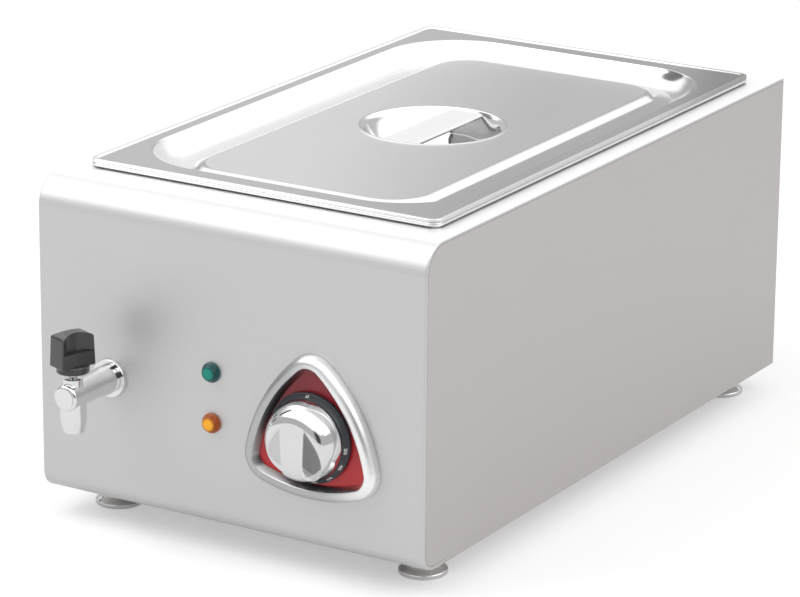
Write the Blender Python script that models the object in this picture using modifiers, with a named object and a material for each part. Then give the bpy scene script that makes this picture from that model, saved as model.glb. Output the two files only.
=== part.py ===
"""Counter-top bain marie with one full-size gastronorm well, in metres, +Z up.

Every piece is placed from the middle of the cabinet's front face, on the floor: X to the right,
Y towards the back. A root empty then carries the whole machine, so that the origin lies on the
floor under the middle of its box.
"""

import math

import bmesh
import bpy
from mathutils import Matrix, Vector

# Clearances, overruns and facet counts shared by all pieces
FIT_GAP = 0.0003
OVERRUN = 0.006
WELD_OVERLAP = 0.0004
MERGE_DISTANCE = 0.00001
ROUND_STEPS = 24
SMALL_STEPS = 16
CORNER_STEPS = 5
BEND_STEPS = 6
EDGE_STEPS = 2
RIGHT_ANGLE = math.pi / 2
SHARP_ANGLE = math.radians(32)

# Cabinet: front and deck are one bent sheet, with a base, two sides and a back
CABINET_WIDTH = 0.360
CABINET_DEPTH = 0.606
CABINET_HEIGHT = 0.264
FOOT_HEIGHT = 0.022
SHEET = 0.0008
TOP_BEND = 0.025
BOTTOM_BEND = 0.015
EDGE_BEND = 0.0018
EDGE_HEM = 0.0008
BOTTOM_RETURN = 0.018
PANEL_FLANGE = 0.012
BASE_INSET = 0.0016

# Gastronorm 1/1 rim, shared by the pan, the lid and the deck's cut-out
RIM_FRONT = 0.045
RIM_REAR = 0.031
RIM_SIDE = 0.0175
RIM_CORNER = 0.009
RIM_LAP = 0.0060

# Water tank
WATER_DEPTH = 0.018
TANK_CORNER = 0.005
TANK_FLANGE = 0.010
TANK_MOUTH_BEND = 0.0016
TANK_FLOOR_BEND = 0.004

# Food pan
PAN_SHEET = 0.0008
PAN_RIM_HEIGHT = 0.0042
PAN_DEPTH = 0.150
PAN_TAPER = 0.012
PAN_CORNER_TOP = 0.050
PAN_CORNER_FLOOR = 0.042
PAN_MOUTH_BEND = 0.003
PAN_EDGE = 0.0012
PAN_CLEARANCE = 0.0047
PAN_FLOOR_BEND = 0.012
PAN_SHOULDER_DEPTH = 0.022
PAN_SHOULDER_STEP = 0.0018

# Lid
LID_SHEET = 0.0008
LID_BEAD_HEIGHT = 0.0024
LID_BEAD_WIDTH = 0.0034
LID_BEAD_STEP = 0.0009
LID_BEAD_EDGE = 0.0009
LID_FLANGE = 0.0185
LID_RECESS_DEPTH = 0.0095
LID_RECESS_CORNER = 0.048
LID_RECESS_SLOPE = 0.0042
PLATEAU_MARGIN = 0.052
PLATEAU_RISE = 0.0038
PLATEAU_SLOPE = 0.0052
PLATEAU_CORNER = 0.030
CUP_RADIUS = 0.0634
CUP_LIP_WIDTH = 0.0042
CUP_LIP_HEIGHT = 0.0008
CUP_DEPTH = 0.021
CUP_FLOOR_RADIUS = 0.043
CUP_FLOOR_SHARE = 0.8
STRAP_WIDTH = 0.032
STRAP_THICKNESS = 0.0014
STRAP_HEM = 0.0030
STRAP_BEND = 0.0018
STRAP_DROP = 0.0004
STRAP_END_GAP = 0.0007

# Feet and the fasteners under the base
FOOT_SIDE_INSET = 0.0345
FOOT_FRONT_INSET = 0.0574
FOOT_REAR_INSET = 0.034
FOOT_RADIUS = 0.0198
FOOT_NECK_RADIUS = 0.0125
FOOT_STUD_RADIUS = 0.0040
FOOT_STUD_LENGTH = 0.011
FOOT_NUT_ACROSS = 0.013
FOOT_NUT_HEIGHT = 0.0065
BASE_SCREW_RADIUS = 0.0017
BASE_SCREW_HEAD = 0.0036
BASE_SCREW_HEAD_HEIGHT = 0.0018
BASE_SCREW_LENGTH = 0.0065
BASE_SCREW_EDGE = 0.0065
BASE_SCREW_INSET = 0.110

# Drain tap: valve axis upright in front of the panel, spout down, knob on top
TAP_SIDE = 0.068
TAP_RISE = 0.012
TAP_STAND = 0.050
TAP_SPOUT_DROP = 0.033
TAP_SPOUT_RADIUS = 0.0105
TAP_SPOUT_CROWN = 0.0031
TAP_SPOUT_TIP_RADIUS = 0.0087
TAP_SPOUT_TIP_LENGTH = 0.010
TAP_SPOUT_BORE = 0.0058
TAP_BARREL_RADIUS = 0.0100
TAP_SHOULDER_RADIUS = 0.0132
TAP_NOSE = 0.0118
TAP_BONNET_RADIUS = 0.0078
TAP_BONNET_HEIGHT = 0.0145
TAP_TAIL_RADIUS = 0.0066
TAP_TAIL_LENGTH = 0.026
TAP_WATERWAY = 0.0042
TAP_CHAMBER = 0.0074
TAP_STEM_RADIUS = 0.0032
TAP_STEM_TOP = 0.034
ROSETTE_RADIUS = 0.0165
ROSETTE_HEIGHT = 0.0028
TAP_NUT_ACROSS = 0.022
TAP_NUT_HEIGHT = 0.006
TAP_NOSE_BEVEL = 0.0014
TAP_CAP_DOME = 0.0007
TAP_KNOB_BASE = 0.0175
TAP_KNOB_HEIGHT = 0.0355
TAP_KNOB_LENGTH = 0.034
TAP_KNOB_THICKNESS = 0.0205
TAP_KNOB_COLLAR_RADIUS = 0.0140
TAP_KNOB_COLLAR_HEIGHT = 0.0052
TAP_KNOB_EDGE = 0.0012
TAP_KNOB_FIN = 0.0105
TAP_KNOB_LEDGE_RISE = 0.0105
TAP_KNOB_ARCH = 0.0035
TAP_KNOB_TAPER = 0.0012
TAP_KNOB_REST_TURN = math.radians(-20)
DRAIN_PIPE_RADIUS = 0.0092
DRAIN_PIPE_LAP = 0.008
DRAIN_HOLE_RADIUS = 0.0052

# Thermostat controls on the right of the front
DIAL_SIDE = 0.0995
DIAL_Z = 0.118
BEZEL_CORNER_REACH = 0.0435
BEZEL_CORNER_RADIUS = 0.023
BEZEL_SIDE_REACH = 0.051
BEZEL_RING = 0.0128
BEZEL_HEIGHT = 0.0106
BEZEL_PLATE = 0.0025
BEZEL_FLOOR = 0.0044
BEZEL_LEDGE = 0.0026
BEZEL_WALL = 0.0018
BEZEL_CORNER_STEPS = 8
BEZEL_SIDE_STEPS = 4
PLATE_THICKNESS = 0.0008
PLATE_HOLE = 0.0105
DIAL_RADIUS = 0.0356
DIAL_BACK = 0.0044
DIAL_HEIGHT = 0.0078
DIAL_WALL = 0.0020
DIAL_SHOULDER = 0.0006
DIAL_SLOPE = 0.0024
DIAL_LIP = 0.0008
HUB_RADIUS = 0.0086
HUB_LENGTH = 0.0070
CAP_RADIUS = 0.0310
CAP_HEIGHT = 0.0205
CAP_BORE_DEPTH = 0.0145
SCOOP_OFFSET = 0.0172
SCOOP_WIDTH = 0.0106
SCOOP_REACH = 0.0290
SCOOP_DEPTH = 0.0125
SCOOP_DROP = 0.0052
SCOOP_STEPS = 24
RIB_WIDTH = 0.0026
RIB_LENGTH = 0.046
RIB_HEIGHT = 0.0010
RIB_DROP = 0.0010
SPINDLE_RADIUS = 0.0030
SPINDLE_FLAT = 0.0008
SPINDLE_ROOT = 0.0040
THERMOSTAT_WIDTH = 0.036
THERMOSTAT_HEIGHT = 0.044
THERMOSTAT_DEPTH = 0.030
THERMOSTAT_EDGE = 0.002
THERMOSTAT_EAR = 0.0015
THERMOSTAT_EAR_WIDTH = 0.012
THERMOSTAT_EAR_HEIGHT = 0.062
THERMOSTAT_SCREW_SPACING = 0.052
BUSH_RADIUS = 0.0048
BUSH_LENGTH = 0.0024
PANEL_SCREW_RADIUS = 0.0019
PANEL_SCREW_HEAD = 0.0036
PANEL_SCREW_HEAD_HEIGHT = 0.0018
PANEL_SCREW_LENGTH = 0.0075

# Signal lamps
LAMP_SPACING = 0.095
LAMP_UPPER_Z = 0.1525
LAMP_LOWER_Z = 0.1105
LENS_RADIUS = 0.0081
LENS_HEIGHT = 0.0062
LENS_SHANK_RADIUS = 0.0050
LENS_SHANK_LENGTH = 0.0040
LAMP_BODY_RADIUS = 0.0068
LAMP_BODY_LENGTH = 0.022
BLADE_WIDTH = 0.0048
BLADE_THICKNESS = 0.0008
BLADE_LENGTH = 0.008
BLADE_SPACING = 0.006

# Heating under the tank
ELEMENT_RADIUS = 0.0042
ELEMENT_SIDE = 0.043
ELEMENT_RUNS = 4
ELEMENT_END_MARGIN = 0.050
ELEMENT_TURN_STEPS = 8
ELEMENT_ELBOW = 0.014
ELEMENT_ELBOW_STEPS = 4
ELEMENT_LEG_SHARE = 0.376
ELEMENT_PIN_RADIUS = 0.0018
ELEMENT_PIN_LENGTH = 0.008
BAR_WIDTH = 0.020
BAR_THICKNESS = 0.0020
BAR_SIDE = 0.026
BAR_SPACING = 0.220
STUD_RADIUS = 0.0025
STUD_TAIL = 0.004
BAR_NUT_ACROSS = 0.008
BAR_NUT_HEIGHT = 0.004
CUTOUT_RADIUS = 0.0085
CUTOUT_HEIGHT = 0.0085
CUTOUT_FLANGE_RADIUS = 0.0115
CUTOUT_FLANGE_HEIGHT = 0.0012
CUTOUT_STUD = 0.0050
BULB_RADIUS = 0.0030
BULB_LENGTH = 0.085
CAPILLARY_RADIUS = 0.0009
CAPILLARY_SAG = 0.0030
CAPILLARY_BEND = 0.0080
CLIP_WIDTH = 0.010
CLIP_WALL = 0.0010
CLIP_EARS = 0.024

# Supply entry at the back and the terminal block inside
GLAND_SIDE = 0.060
GLAND_Z = 0.062
GLAND_COLLAR_ACROSS = 0.0220
GLAND_COLLAR_LENGTH = 0.0050
GLAND_DOME_RADIUS = 0.0095
GLAND_DOME_LENGTH = 0.0100
GLAND_THREAD_RADIUS = 0.0078
GLAND_THREAD_LENGTH = 0.0100
GLAND_BORE = 0.0042
GLAND_NUT_ACROSS = 0.0220
GLAND_NUT_HEIGHT = 0.0045
BLOCK_LENGTH = 0.060
BLOCK_SIDE = 0.120
BLOCK_INSET = 0.070
BLOCK_WIDTH = 0.022
BLOCK_HEIGHT = 0.017
BLOCK_WAYS = 3
BLOCK_WIRE_HOLE = 0.0026
BLOCK_SCREW_WELL = 0.0030
BLOCK_EDGE = 0.0015
BLOCK_WALL = 0.0022
LEAD_RADIUS = 0.0013
LEAD_BEND = 0.0060
LEAD_LIFT = 0.0120
EARTH_POST_RADIUS = 0.0020
EARTH_POST_HEIGHT = 0.0120

# Heights and places that follow from the sizes above
DECK_Z = FOOT_HEIGHT + CABINET_HEIGHT
SHELL_BOTTOM_Z = FOOT_HEIGHT + SHEET + FIT_GAP
RIM_LENGTH = CABINET_DEPTH - RIM_FRONT - RIM_REAR
RIM_WIDTH = CABINET_WIDTH - 2 * RIM_SIDE
WELL_CENTRE_Y = RIM_FRONT + RIM_LENGTH / 2
TANK_HALF_WIDTH = RIM_WIDTH / 2 - RIM_LAP
TANK_HALF_LENGTH = RIM_LENGTH / 2 - RIM_LAP
TANK_TOP_Z = DECK_Z - SHEET - FIT_GAP
TANK_DEPTH = PAN_DEPTH + WATER_DEPTH
TANK_FLOOR_Z = DECK_Z - TANK_DEPTH
TANK_UNDERSIDE_Z = TANK_FLOOR_Z - SHEET
TANK_FRONT_Y = WELL_CENTRE_Y - TANK_HALF_LENGTH
PAN_RIM_Z = DECK_Z + FIT_GAP + PAN_RIM_HEIGHT
LID_TOP_Z = PAN_RIM_Z + FIT_GAP + LID_BEAD_HEIGHT
LID_FLANGE_Z = LID_TOP_Z - LID_BEAD_STEP
LID_CHANNEL_Z = LID_FLANGE_Z - LID_RECESS_DEPTH
PLATEAU_Z = LID_CHANNEL_Z + PLATEAU_RISE
ELEMENT_Z = TANK_UNDERSIDE_Z - FIT_GAP - ELEMENT_RADIUS
BAR_TOP_Z = ELEMENT_Z - ELEMENT_RADIUS - FIT_GAP
CAP_BACK = DIAL_BACK + DIAL_HEIGHT + FIT_GAP
TAP_X = TAP_SIDE - CABINET_WIDTH / 2
TAP_Z = TANK_FLOOR_Z + TAP_RISE
DIAL_X = CABINET_WIDTH / 2 - DIAL_SIDE
LAMP_X = DIAL_X - LAMP_SPACING
GLAND_X = CABINET_WIDTH / 2 - GLAND_SIDE
BLOCK_X = CABINET_WIDTH / 2 - BLOCK_SIDE
WIRE_Z = FOOT_HEIGHT + SHEET + FIT_GAP + BLOCK_HEIGHT / 2 - BLOCK_WALL / 2
ELEMENT_RUN_SPACING = 2 * (TANK_HALF_WIDTH - ELEMENT_SIDE) / (ELEMENT_RUNS - 1)
ELEMENT_DROP = ELEMENT_Z - ELEMENT_ELBOW - ELEMENT_PIN_LENGTH - FIT_GAP - WIRE_Z - LEAD_LIFT
ELEMENT_LEG = ELEMENT_DROP * ELEMENT_LEG_SHARE
BAR_LENGTH = 2 * (TANK_HALF_WIDTH - BAR_SIDE)

# Shape tables, as shares of the sizes that each piece's function names
BEZEL_PROFILE_SHARES = (
    (0.0, 0.30), (0.05, 0.56), (0.16, 0.80), (0.34, 0.95), (0.52, 1.0), (0.68, 0.985), (0.74, 0.93)
)
CUP_WALL_SHARES = ((0.10, 0.10), (0.22, 0.32), (0.42, 0.60), (0.66, 0.82), (1.0, 0.95))
LID_WALL_SHARES = ((0.0, 0.0), (0.18, 0.05), (0.36, 0.18), (0.72, 0.86), (0.92, 0.97), (1.25, 1.0))
PLATEAU_WALL_SHARES = ((0.0, 0.0), (0.22, 0.14), (0.50, 0.66), (0.72, 0.90), (1.0, 1.0))
FOOT_PROFILE_SHARES = ((0.72, 0.86), (0.70, 0.60), (0.74, 0.38), (0.90, 0.24), (0.985, 0.17), (1.0, 0.12))
LENS_PROFILE_SHARES = ((0.42, 0.985), (0.66, 0.91), (0.76, 0.78), (0.90, 0.38), (1.0, 0.28), (1.0, 0.06))
CAP_PROFILE_SHARES = (
    (0.42, 0.995), (0.72, 0.975), (0.86, 0.92), (0.935, 0.80), (0.965, 0.62), (0.985, 0.30), (1.0, 0.06)
)
ROSETTE_PROFILE_SHARES = ((0.82, 1.0), (0.93, 0.80), (1.0, 0.42))
GLAND_DOME_SHARES = ((0.62, 1.0), (0.86, 0.93), (0.97, 0.72), (1.0, 0.50))


def clear_scene():
    for obj in list(bpy.data.objects):
        bpy.data.objects.remove(obj, do_unlink=True)


def new_collection(name, hidden=False):
    collection = bpy.data.collections.new(name)
    bpy.context.scene.collection.children.link(collection)
    collection.hide_render = hidden
    return collection


def material(name, colour, metallic, roughness):
    made = bpy.data.materials.new(name)
    made.use_nodes = True
    shader = made.node_tree.nodes["Principled BSDF"]
    shader.inputs["Base Color"].default_value = (*colour, 1.0)
    shader.inputs["Metallic"].default_value = metallic
    shader.inputs["Roughness"].default_value = roughness
    made.diffuse_color = (*colour, 1.0)
    return made


clear_scene()
PARTS = new_collection("bain_marie")
CUTTERS = new_collection("bain_marie_cutters", hidden=True)
ROOT = bpy.data.objects.new("bain_marie_root", None)
PARTS.objects.link(ROOT)

STEEL = material("brushed_steel", (0.62, 0.62, 0.62), 1.0, 0.32)
POLISHED = material("polished_steel", (0.74, 0.74, 0.75), 1.0, 0.12)
CHROME = material("chrome", (0.80, 0.80, 0.81), 1.0, 0.06)
SATIN = material("satin_bezel", (0.62, 0.62, 0.63), 1.0, 0.28)
BLACK = material("black_plastic", (0.035, 0.037, 0.038), 0.0, 0.42)
DIAL = material("dial_black", (0.030, 0.036, 0.042), 0.0, 0.34)
RED = material("red_plate", (0.42, 0.030, 0.045), 0.0, 0.30)
GREEN = material("green_lens", (0.010, 0.22, 0.17), 0.0, 0.16)
AMBER = material("amber_lens", (0.75, 0.27, 0.015), 0.0, 0.16)
ZINC = material("zinc_plated", (0.55, 0.55, 0.53), 1.0, 0.38)
ELEMENT = material("element_sheath", (0.32, 0.31, 0.30), 1.0, 0.45)
COPPER = material("copper_tube", (0.62, 0.30, 0.18), 1.0, 0.35)
CERAMIC = material("ceramic", (0.80, 0.78, 0.72), 0.0, 0.55)
HOUSING = material("phenolic", (0.06, 0.055, 0.05), 0.0, 0.50)
LEAD_BROWN = material("brown_lead", (0.16, 0.07, 0.03), 0.0, 0.50)
LEAD_BLUE = material("blue_lead", (0.03, 0.12, 0.42), 0.0, 0.50)
LEAD_GREEN = material("green_lead", (0.10, 0.36, 0.08), 0.0, 0.50)


def smooth_by_angle(mesh):
    mesh.shade_smooth()
    mesh.set_sharp_from_angle(angle=SHARP_ANGLE)


def add_object(name, mesh, finish, location=(0, 0, 0), rotation=(0, 0, 0), parent=None):
    """Put a mesh in the scene as a finished piece, or as a cutter when it has no finish."""
    obj = bpy.data.objects.new(name, mesh)
    obj.location = location
    obj.rotation_euler = rotation
    obj.parent = parent or ROOT
    if finish is None:
        obj.display_type = "WIRE"
        obj.hide_render = True
        CUTTERS.objects.link(obj)
    else:
        mesh.materials.clear()
        mesh.materials.append(finish)
        PARTS.objects.link(obj)
    return obj


def mesh_of(name, bm):
    """Turn a bmesh into a mesh, with its round faces smooth."""
    mesh = bpy.data.meshes.new(name)
    bm.to_mesh(mesh)
    bm.free()
    smooth_by_angle(mesh)
    return mesh


def evaluated_mesh(obj):
    """The mesh of an object as its modifiers or its curve make it, with caps welded."""
    bpy.context.view_layer.update()
    graph = bpy.context.evaluated_depsgraph_get()
    mesh = bpy.data.meshes.new_from_object(obj.evaluated_get(graph))
    bm = bmesh.new()
    bm.from_mesh(mesh)
    bmesh.ops.remove_doubles(bm, verts=bm.verts, dist=MERGE_DISTANCE)
    bm.to_mesh(mesh)
    bm.free()
    return mesh


def turned(name, profile, finish, location=(0, 0, 0), rotation=(0, 0, 0), steps=ROUND_STEPS, ring=False):
    """A piece turned about its own Z from (radius, height) points, top to bottom on the outer side."""
    bm = bmesh.new()
    line = [bm.verts.new((radius, 0, height)) for radius, height in profile]
    for first, second in zip(line, line[1:]):
        bm.edges.new((first, second))
    if ring:
        bm.edges.new((line[-1], line[0]))
    mesh = bpy.data.meshes.new(name)
    bm.to_mesh(mesh)
    bm.free()
    blank = bpy.data.objects.new(name + "_blank", mesh)
    bpy.context.scene.collection.objects.link(blank)
    screw = blank.modifiers.new("turn", "SCREW")
    screw.steps = steps
    screw.render_steps = steps
    screw.use_merge_vertices = True
    screw.merge_threshold = MERGE_DISTANCE
    turned_mesh = evaluated_mesh(blank)
    bpy.data.objects.remove(blank, do_unlink=True)
    smooth_by_angle(turned_mesh)
    turned_mesh.name = name
    return add_object(name, turned_mesh, finish, location, rotation)


def rod(name, radius, start, end, finish=None, steps=SMALL_STEPS, radius_end=None):
    """A straight round bar or bore between two points."""
    start, end = Vector(start), Vector(end)
    span = end - start
    bm = bmesh.new()
    bmesh.ops.create_cone(
        bm, cap_ends=True, segments=steps, radius1=radius,
        radius2=radius if radius_end is None else radius_end, depth=span.length,
    )
    turn = span.to_track_quat("Z", "Y").to_euler()
    return add_object(name, mesh_of(name, bm), finish, (start + end) / 2, turn)


def block(name, low, high, finish=None, edge=0, steps=2):
    """A box between two corners, its edges rounded when an edge radius is given."""
    low, high = Vector(low), Vector(high)
    size = high - low
    bm = bmesh.new()
    bmesh.ops.create_cube(bm, size=1)
    bmesh.ops.scale(bm, vec=size, verts=bm.verts)
    if edge:
        bmesh.ops.bevel(
            bm, geom=bm.edges[:], offset=edge, segments=steps, affect="EDGES", profile=0.5, material=-1
        )
    return add_object(name, mesh_of(name, bm), finish, (low + high) / 2)


def hexagon(name, across, height, base, finish, direction, bore=0):
    """A hexagon nut or collar standing on its base point, with its axis along direction."""
    base, direction = Vector(base), Vector(direction)
    corner = across / math.sqrt(3)
    nut = rod(name, corner, base, base + direction * height, finish, steps=6)
    if bore:
        start, end = base - direction * OVERRUN, base + direction * (height + OVERRUN)
        boolean(nut, rod(name + "_bore", bore, start, end))
    return nut


def tube(name, points, radius, finish, resolution=2):
    """A bent tube or wire along points, as a filled curve made a mesh."""
    curve = bpy.data.curves.new(name, "CURVE")
    curve.dimensions = "3D"
    curve.bevel_depth = radius
    curve.bevel_resolution = resolution
    curve.use_fill_caps = True
    spline = curve.splines.new("POLY")
    spline.points.add(len(points) - 1)
    for target, point in zip(spline.points, points):
        target.co = (*point, 1)
    wire = bpy.data.objects.new(name + "_curve", curve)
    bpy.context.scene.collection.objects.link(wire)
    mesh = evaluated_mesh(wire)
    mesh.name = name
    bpy.data.objects.remove(wire, do_unlink=True)
    smooth_by_angle(mesh)
    return add_object(name, mesh, finish)


def boolean(obj, other, operation="DIFFERENCE"):
    """Cut another object out of this one, or join it on."""
    modifier = obj.modifiers.new(other.name, "BOOLEAN")
    modifier.operation = operation
    modifier.object = other
    modifier.solver = "EXACT"
    return obj


def thicken(obj, thickness, offset=-1.0):
    """Give an open surface its sheet thickness, on the side away from its normals."""
    modifier = obj.modifiers.new("sheet", "SOLIDIFY")
    modifier.thickness = thickness
    modifier.offset = offset
    modifier.use_even_offset = True
    modifier.use_quality_normals = True
    return obj


def arc(centre_u, centre_v, radius, start, end, steps):
    """Points round part of a circle, as pairs, both ends included."""
    angles = [start + (end - start) * step / steps for step in range(steps + 1)]
    return [(centre_u + radius * math.cos(a), centre_v + radius * math.sin(a)) for a in angles]


def rounded_rectangle(half_x, half_y, radius, z):
    """One loop of points round a rectangle, the same number at every size."""
    points = []
    for quadrant, (sign_x, sign_y) in enumerate(((1, 1), (-1, 1), (-1, -1), (1, -1))):
        start = quadrant * RIGHT_ANGLE
        corner = arc(
            sign_x * (half_x - radius), sign_y * (half_y - radius), radius,
            start, start + RIGHT_ANGLE, CORNER_STEPS,
        )
        points += [Vector((x, y, z)) for x, y in corner]
    return points


def circle_loop(radius, z):
    """One loop round a circle, with as many points as a rounded rectangle has."""
    count = 4 * (CORNER_STEPS + 1)
    angles = [(index + 0.5) * 2 * math.pi / count for index in range(count)]
    return [Vector((radius * math.cos(a), radius * math.sin(a), z)) for a in angles]


def skin(loops, round_loops=True, close=False, floor=False):
    """Lay faces between neighbouring loops of points; floor fills the last loop."""
    bm = bmesh.new()
    rings = [[bm.verts.new(point) for point in loop] for loop in loops]
    pairs = list(zip(rings, rings[1:])) + ([(rings[-1], rings[0])] if close else [])
    for first, second in pairs:
        count = len(first)
        for index in range(count if round_loops else count - 1):
            after = (index + 1) % count
            bm.faces.new((first[index], first[after], second[after], second[index]))
    if floor:
        bm.faces.new(rings[-1])
    return bm


def cabinet_path(inset):
    """(y, z) points of the front and deck at one inset, from the bottom return to the deck's rear."""
    path = [(BOTTOM_BEND + BOTTOM_RETURN, SHELL_BOTTOM_Z + inset)]
    path += arc(
        BOTTOM_BEND, SHELL_BOTTOM_Z + BOTTOM_BEND, BOTTOM_BEND - inset, -RIGHT_ANGLE, -math.pi, BEND_STEPS
    )
    path += arc(TOP_BEND, DECK_Z - TOP_BEND, TOP_BEND - inset, math.pi, RIGHT_ANGLE, BEND_STEPS)
    path.append((CABINET_DEPTH, DECK_Z - inset))
    return path


def make_front_and_deck():
    """One bent sheet: bottom return, rounded front and deck, its side edges turned in."""
    half = CABINET_WIDTH / 2
    edge = [(half, EDGE_BEND + EDGE_HEM)]
    edge += arc(half - EDGE_BEND, EDGE_BEND, EDGE_BEND, 0, -RIGHT_ANGLE, EDGE_STEPS)
    stations = edge + [(-x, inset) for x, inset in reversed(edge)]
    chains = [[Vector((x, y, z)) for y, z in cabinet_path(inset)] for x, inset in stations]
    mesh = mesh_of("front_and_deck", skin(chains, round_loops=False))
    shell = thicken(add_object("front_and_deck", mesh, STEEL), SHEET)
    boolean(shell, well_cutter())
    for name, radius, x, z in (
        ("tap_hole", TAP_TAIL_RADIUS + FIT_GAP, TAP_X, TAP_Z),
        ("upper_lamp_hole", LENS_SHANK_RADIUS + FIT_GAP, LAMP_X, LAMP_UPPER_Z),
        ("lower_lamp_hole", LENS_SHANK_RADIUS + FIT_GAP, LAMP_X, LAMP_LOWER_Z),
        ("spindle_hole", BUSH_RADIUS + FIT_GAP, DIAL_X, DIAL_Z),
        ("upper_screw_hole", PANEL_SCREW_RADIUS + FIT_GAP, DIAL_X, DIAL_Z + THERMOSTAT_SCREW_SPACING / 2),
        ("lower_screw_hole", PANEL_SCREW_RADIUS + FIT_GAP, DIAL_X, DIAL_Z - THERMOSTAT_SCREW_SPACING / 2),
    ):
        boolean(shell, rod(name, radius, (x, -OVERRUN, z), (x, SHEET + OVERRUN, z)))
    for name, x, y in base_screw_places():
        if y < BOTTOM_BEND + BOTTOM_RETURN:
            boolean(shell, base_screw_hole(name + "_front_hole", x, y))


def well_cutter():
    """The deck's opening over the tank, as a rounded block."""
    loops = [
        rounded_rectangle(TANK_HALF_WIDTH, TANK_HALF_LENGTH, TANK_CORNER, z) for z in (OVERRUN, -OVERRUN)
    ]
    bm = skin(loops, floor=True)
    bmesh.ops.holes_fill(bm, edges=bm.edges[:], sides=0)
    bmesh.ops.recalc_face_normals(bm, faces=bm.faces)
    return add_object("well_cutter", mesh_of("well_cutter", bm), None, (0, WELL_CENTRE_Y, DECK_Z))


def side_outline():
    """(y, z) corners and bends of a side panel, just inside the front sheet's turned edge."""
    inset = EDGE_BEND + EDGE_HEM + FIT_GAP
    path = cabinet_path(inset)
    step_y = path[0][0] + FIT_GAP
    outline = [(step_y, SHELL_BOTTOM_Z), (step_y, path[0][1])] + path[1:-1]
    outline += [(CABINET_DEPTH, DECK_Z - inset), (CABINET_DEPTH, SHELL_BOTTOM_Z)]
    return outline


def make_side_panel(name, side):
    """A flat panel with its rear and bottom edges folded inward."""
    bm = bmesh.new()
    corners = [bm.verts.new((side * CABINET_WIDTH / 2, y, z)) for y, z in side_outline()]
    bm.faces.new(corners)
    folds = [bm.edges.get((corners[-2], corners[-1])), bm.edges.get((corners[-1], corners[0]))]
    folded = bmesh.ops.extrude_edge_only(bm, edges=folds)["geom"]
    moved = [item for item in folded if isinstance(item, bmesh.types.BMVert)]
    bmesh.ops.translate(bm, vec=(-side * PANEL_FLANGE, 0, 0), verts=moved)
    bmesh.ops.recalc_face_normals(bm, faces=bm.faces)
    largest = max(bm.faces, key=lambda face: face.calc_area())
    if largest.normal.x * side < 0:
        bmesh.ops.reverse_faces(bm, faces=bm.faces)
    panel = thicken(add_object(name, mesh_of(name, bm), STEEL), SHEET)
    for screw, x, y in base_screw_places():
        if x * side > 0 and y > BOTTOM_BEND + BOTTOM_RETURN:
            boolean(panel, base_screw_hole(screw + "_side_hole", x, y))


def make_back_panel():
    """The flat back, held between the side flanges, with the hole for the supply gland."""
    half = CABINET_WIDTH / 2 - EDGE_BEND - FIT_GAP
    outside = CABINET_DEPTH - SHEET - FIT_GAP
    bottom = SHELL_BOTTOM_Z + SHEET + FIT_GAP
    panel = block(
        "back_panel", (-half, outside - SHEET, bottom), (half, outside, DECK_Z - SHEET - FIT_GAP), STEEL
    )
    foot = block(
        "back_panel_foot", (-half, outside - PANEL_FLANGE, bottom),
        (half, outside - SHEET / 2, bottom + SHEET)
    )
    boolean(panel, foot, "UNION")
    start, end = (GLAND_X, outside - SHEET - OVERRUN, GLAND_Z), (GLAND_X, outside + OVERRUN, GLAND_Z)
    boolean(panel, rod("gland_hole", GLAND_THREAD_RADIUS + FIT_GAP, start, end))


def foot_places():
    side = CABINET_WIDTH / 2 - FOOT_SIDE_INSET
    return (
        ("front_left", -side, FOOT_FRONT_INSET), ("front_right", side, FOOT_FRONT_INSET),
        ("rear_left", -side, CABINET_DEPTH - FOOT_REAR_INSET),
        ("rear_right", side, CABINET_DEPTH - FOOT_REAR_INSET),
    )


def base_screw_places():
    """Four self-tapping screws: two in the front return and one in each side flange."""
    side = CABINET_WIDTH / 2 - BASE_SCREW_EDGE
    front = BOTTOM_BEND + BOTTOM_RETURN - BASE_SCREW_EDGE
    return (
        ("front_left", -side / 2, front), ("front_right", side / 2, front),
        ("rear_left", -side, CABINET_DEPTH - BASE_SCREW_INSET),
        ("rear_right", side, CABINET_DEPTH - BASE_SCREW_INSET),
    )


def base_screw_hole(name, x, y):
    low, high = FOOT_HEIGHT - OVERRUN, SHELL_BOTTOM_Z + SHEET + OVERRUN
    return rod(name, BASE_SCREW_RADIUS + FIT_GAP, (x, y, low), (x, y, high))


def make_base_plate():
    """The bottom cover, under the flanges, with holes for the feet and its screws."""
    half = CABINET_WIDTH / 2 - BASE_INSET
    plate = block(
        "base_plate", (-half, BOTTOM_BEND, FOOT_HEIGHT),
        (half, CABINET_DEPTH - BASE_INSET, FOOT_HEIGHT + SHEET), STEEL
    )
    for name, x, y in foot_places():
        low, high = FOOT_HEIGHT - OVERRUN, FOOT_HEIGHT + SHEET + OVERRUN
        boolean(plate, rod(name + "_stud_hole", FOOT_STUD_RADIUS + FIT_GAP, (x, y, low), (x, y, high)))
    for name, x, y in base_screw_places():
        boolean(plate, base_screw_hole(name + "_base_hole", x, y))
    x, y = earth_post_place()
    low, high = FOOT_HEIGHT + SHEET - WELD_OVERLAP, FOOT_HEIGHT + SHEET + EARTH_POST_HEIGHT
    boolean(
        plate, rod("earth_post", EARTH_POST_RADIUS, (x, y, low), (x, y, high), steps=SMALL_STEPS // 2),
        "UNION"
    )


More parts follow.
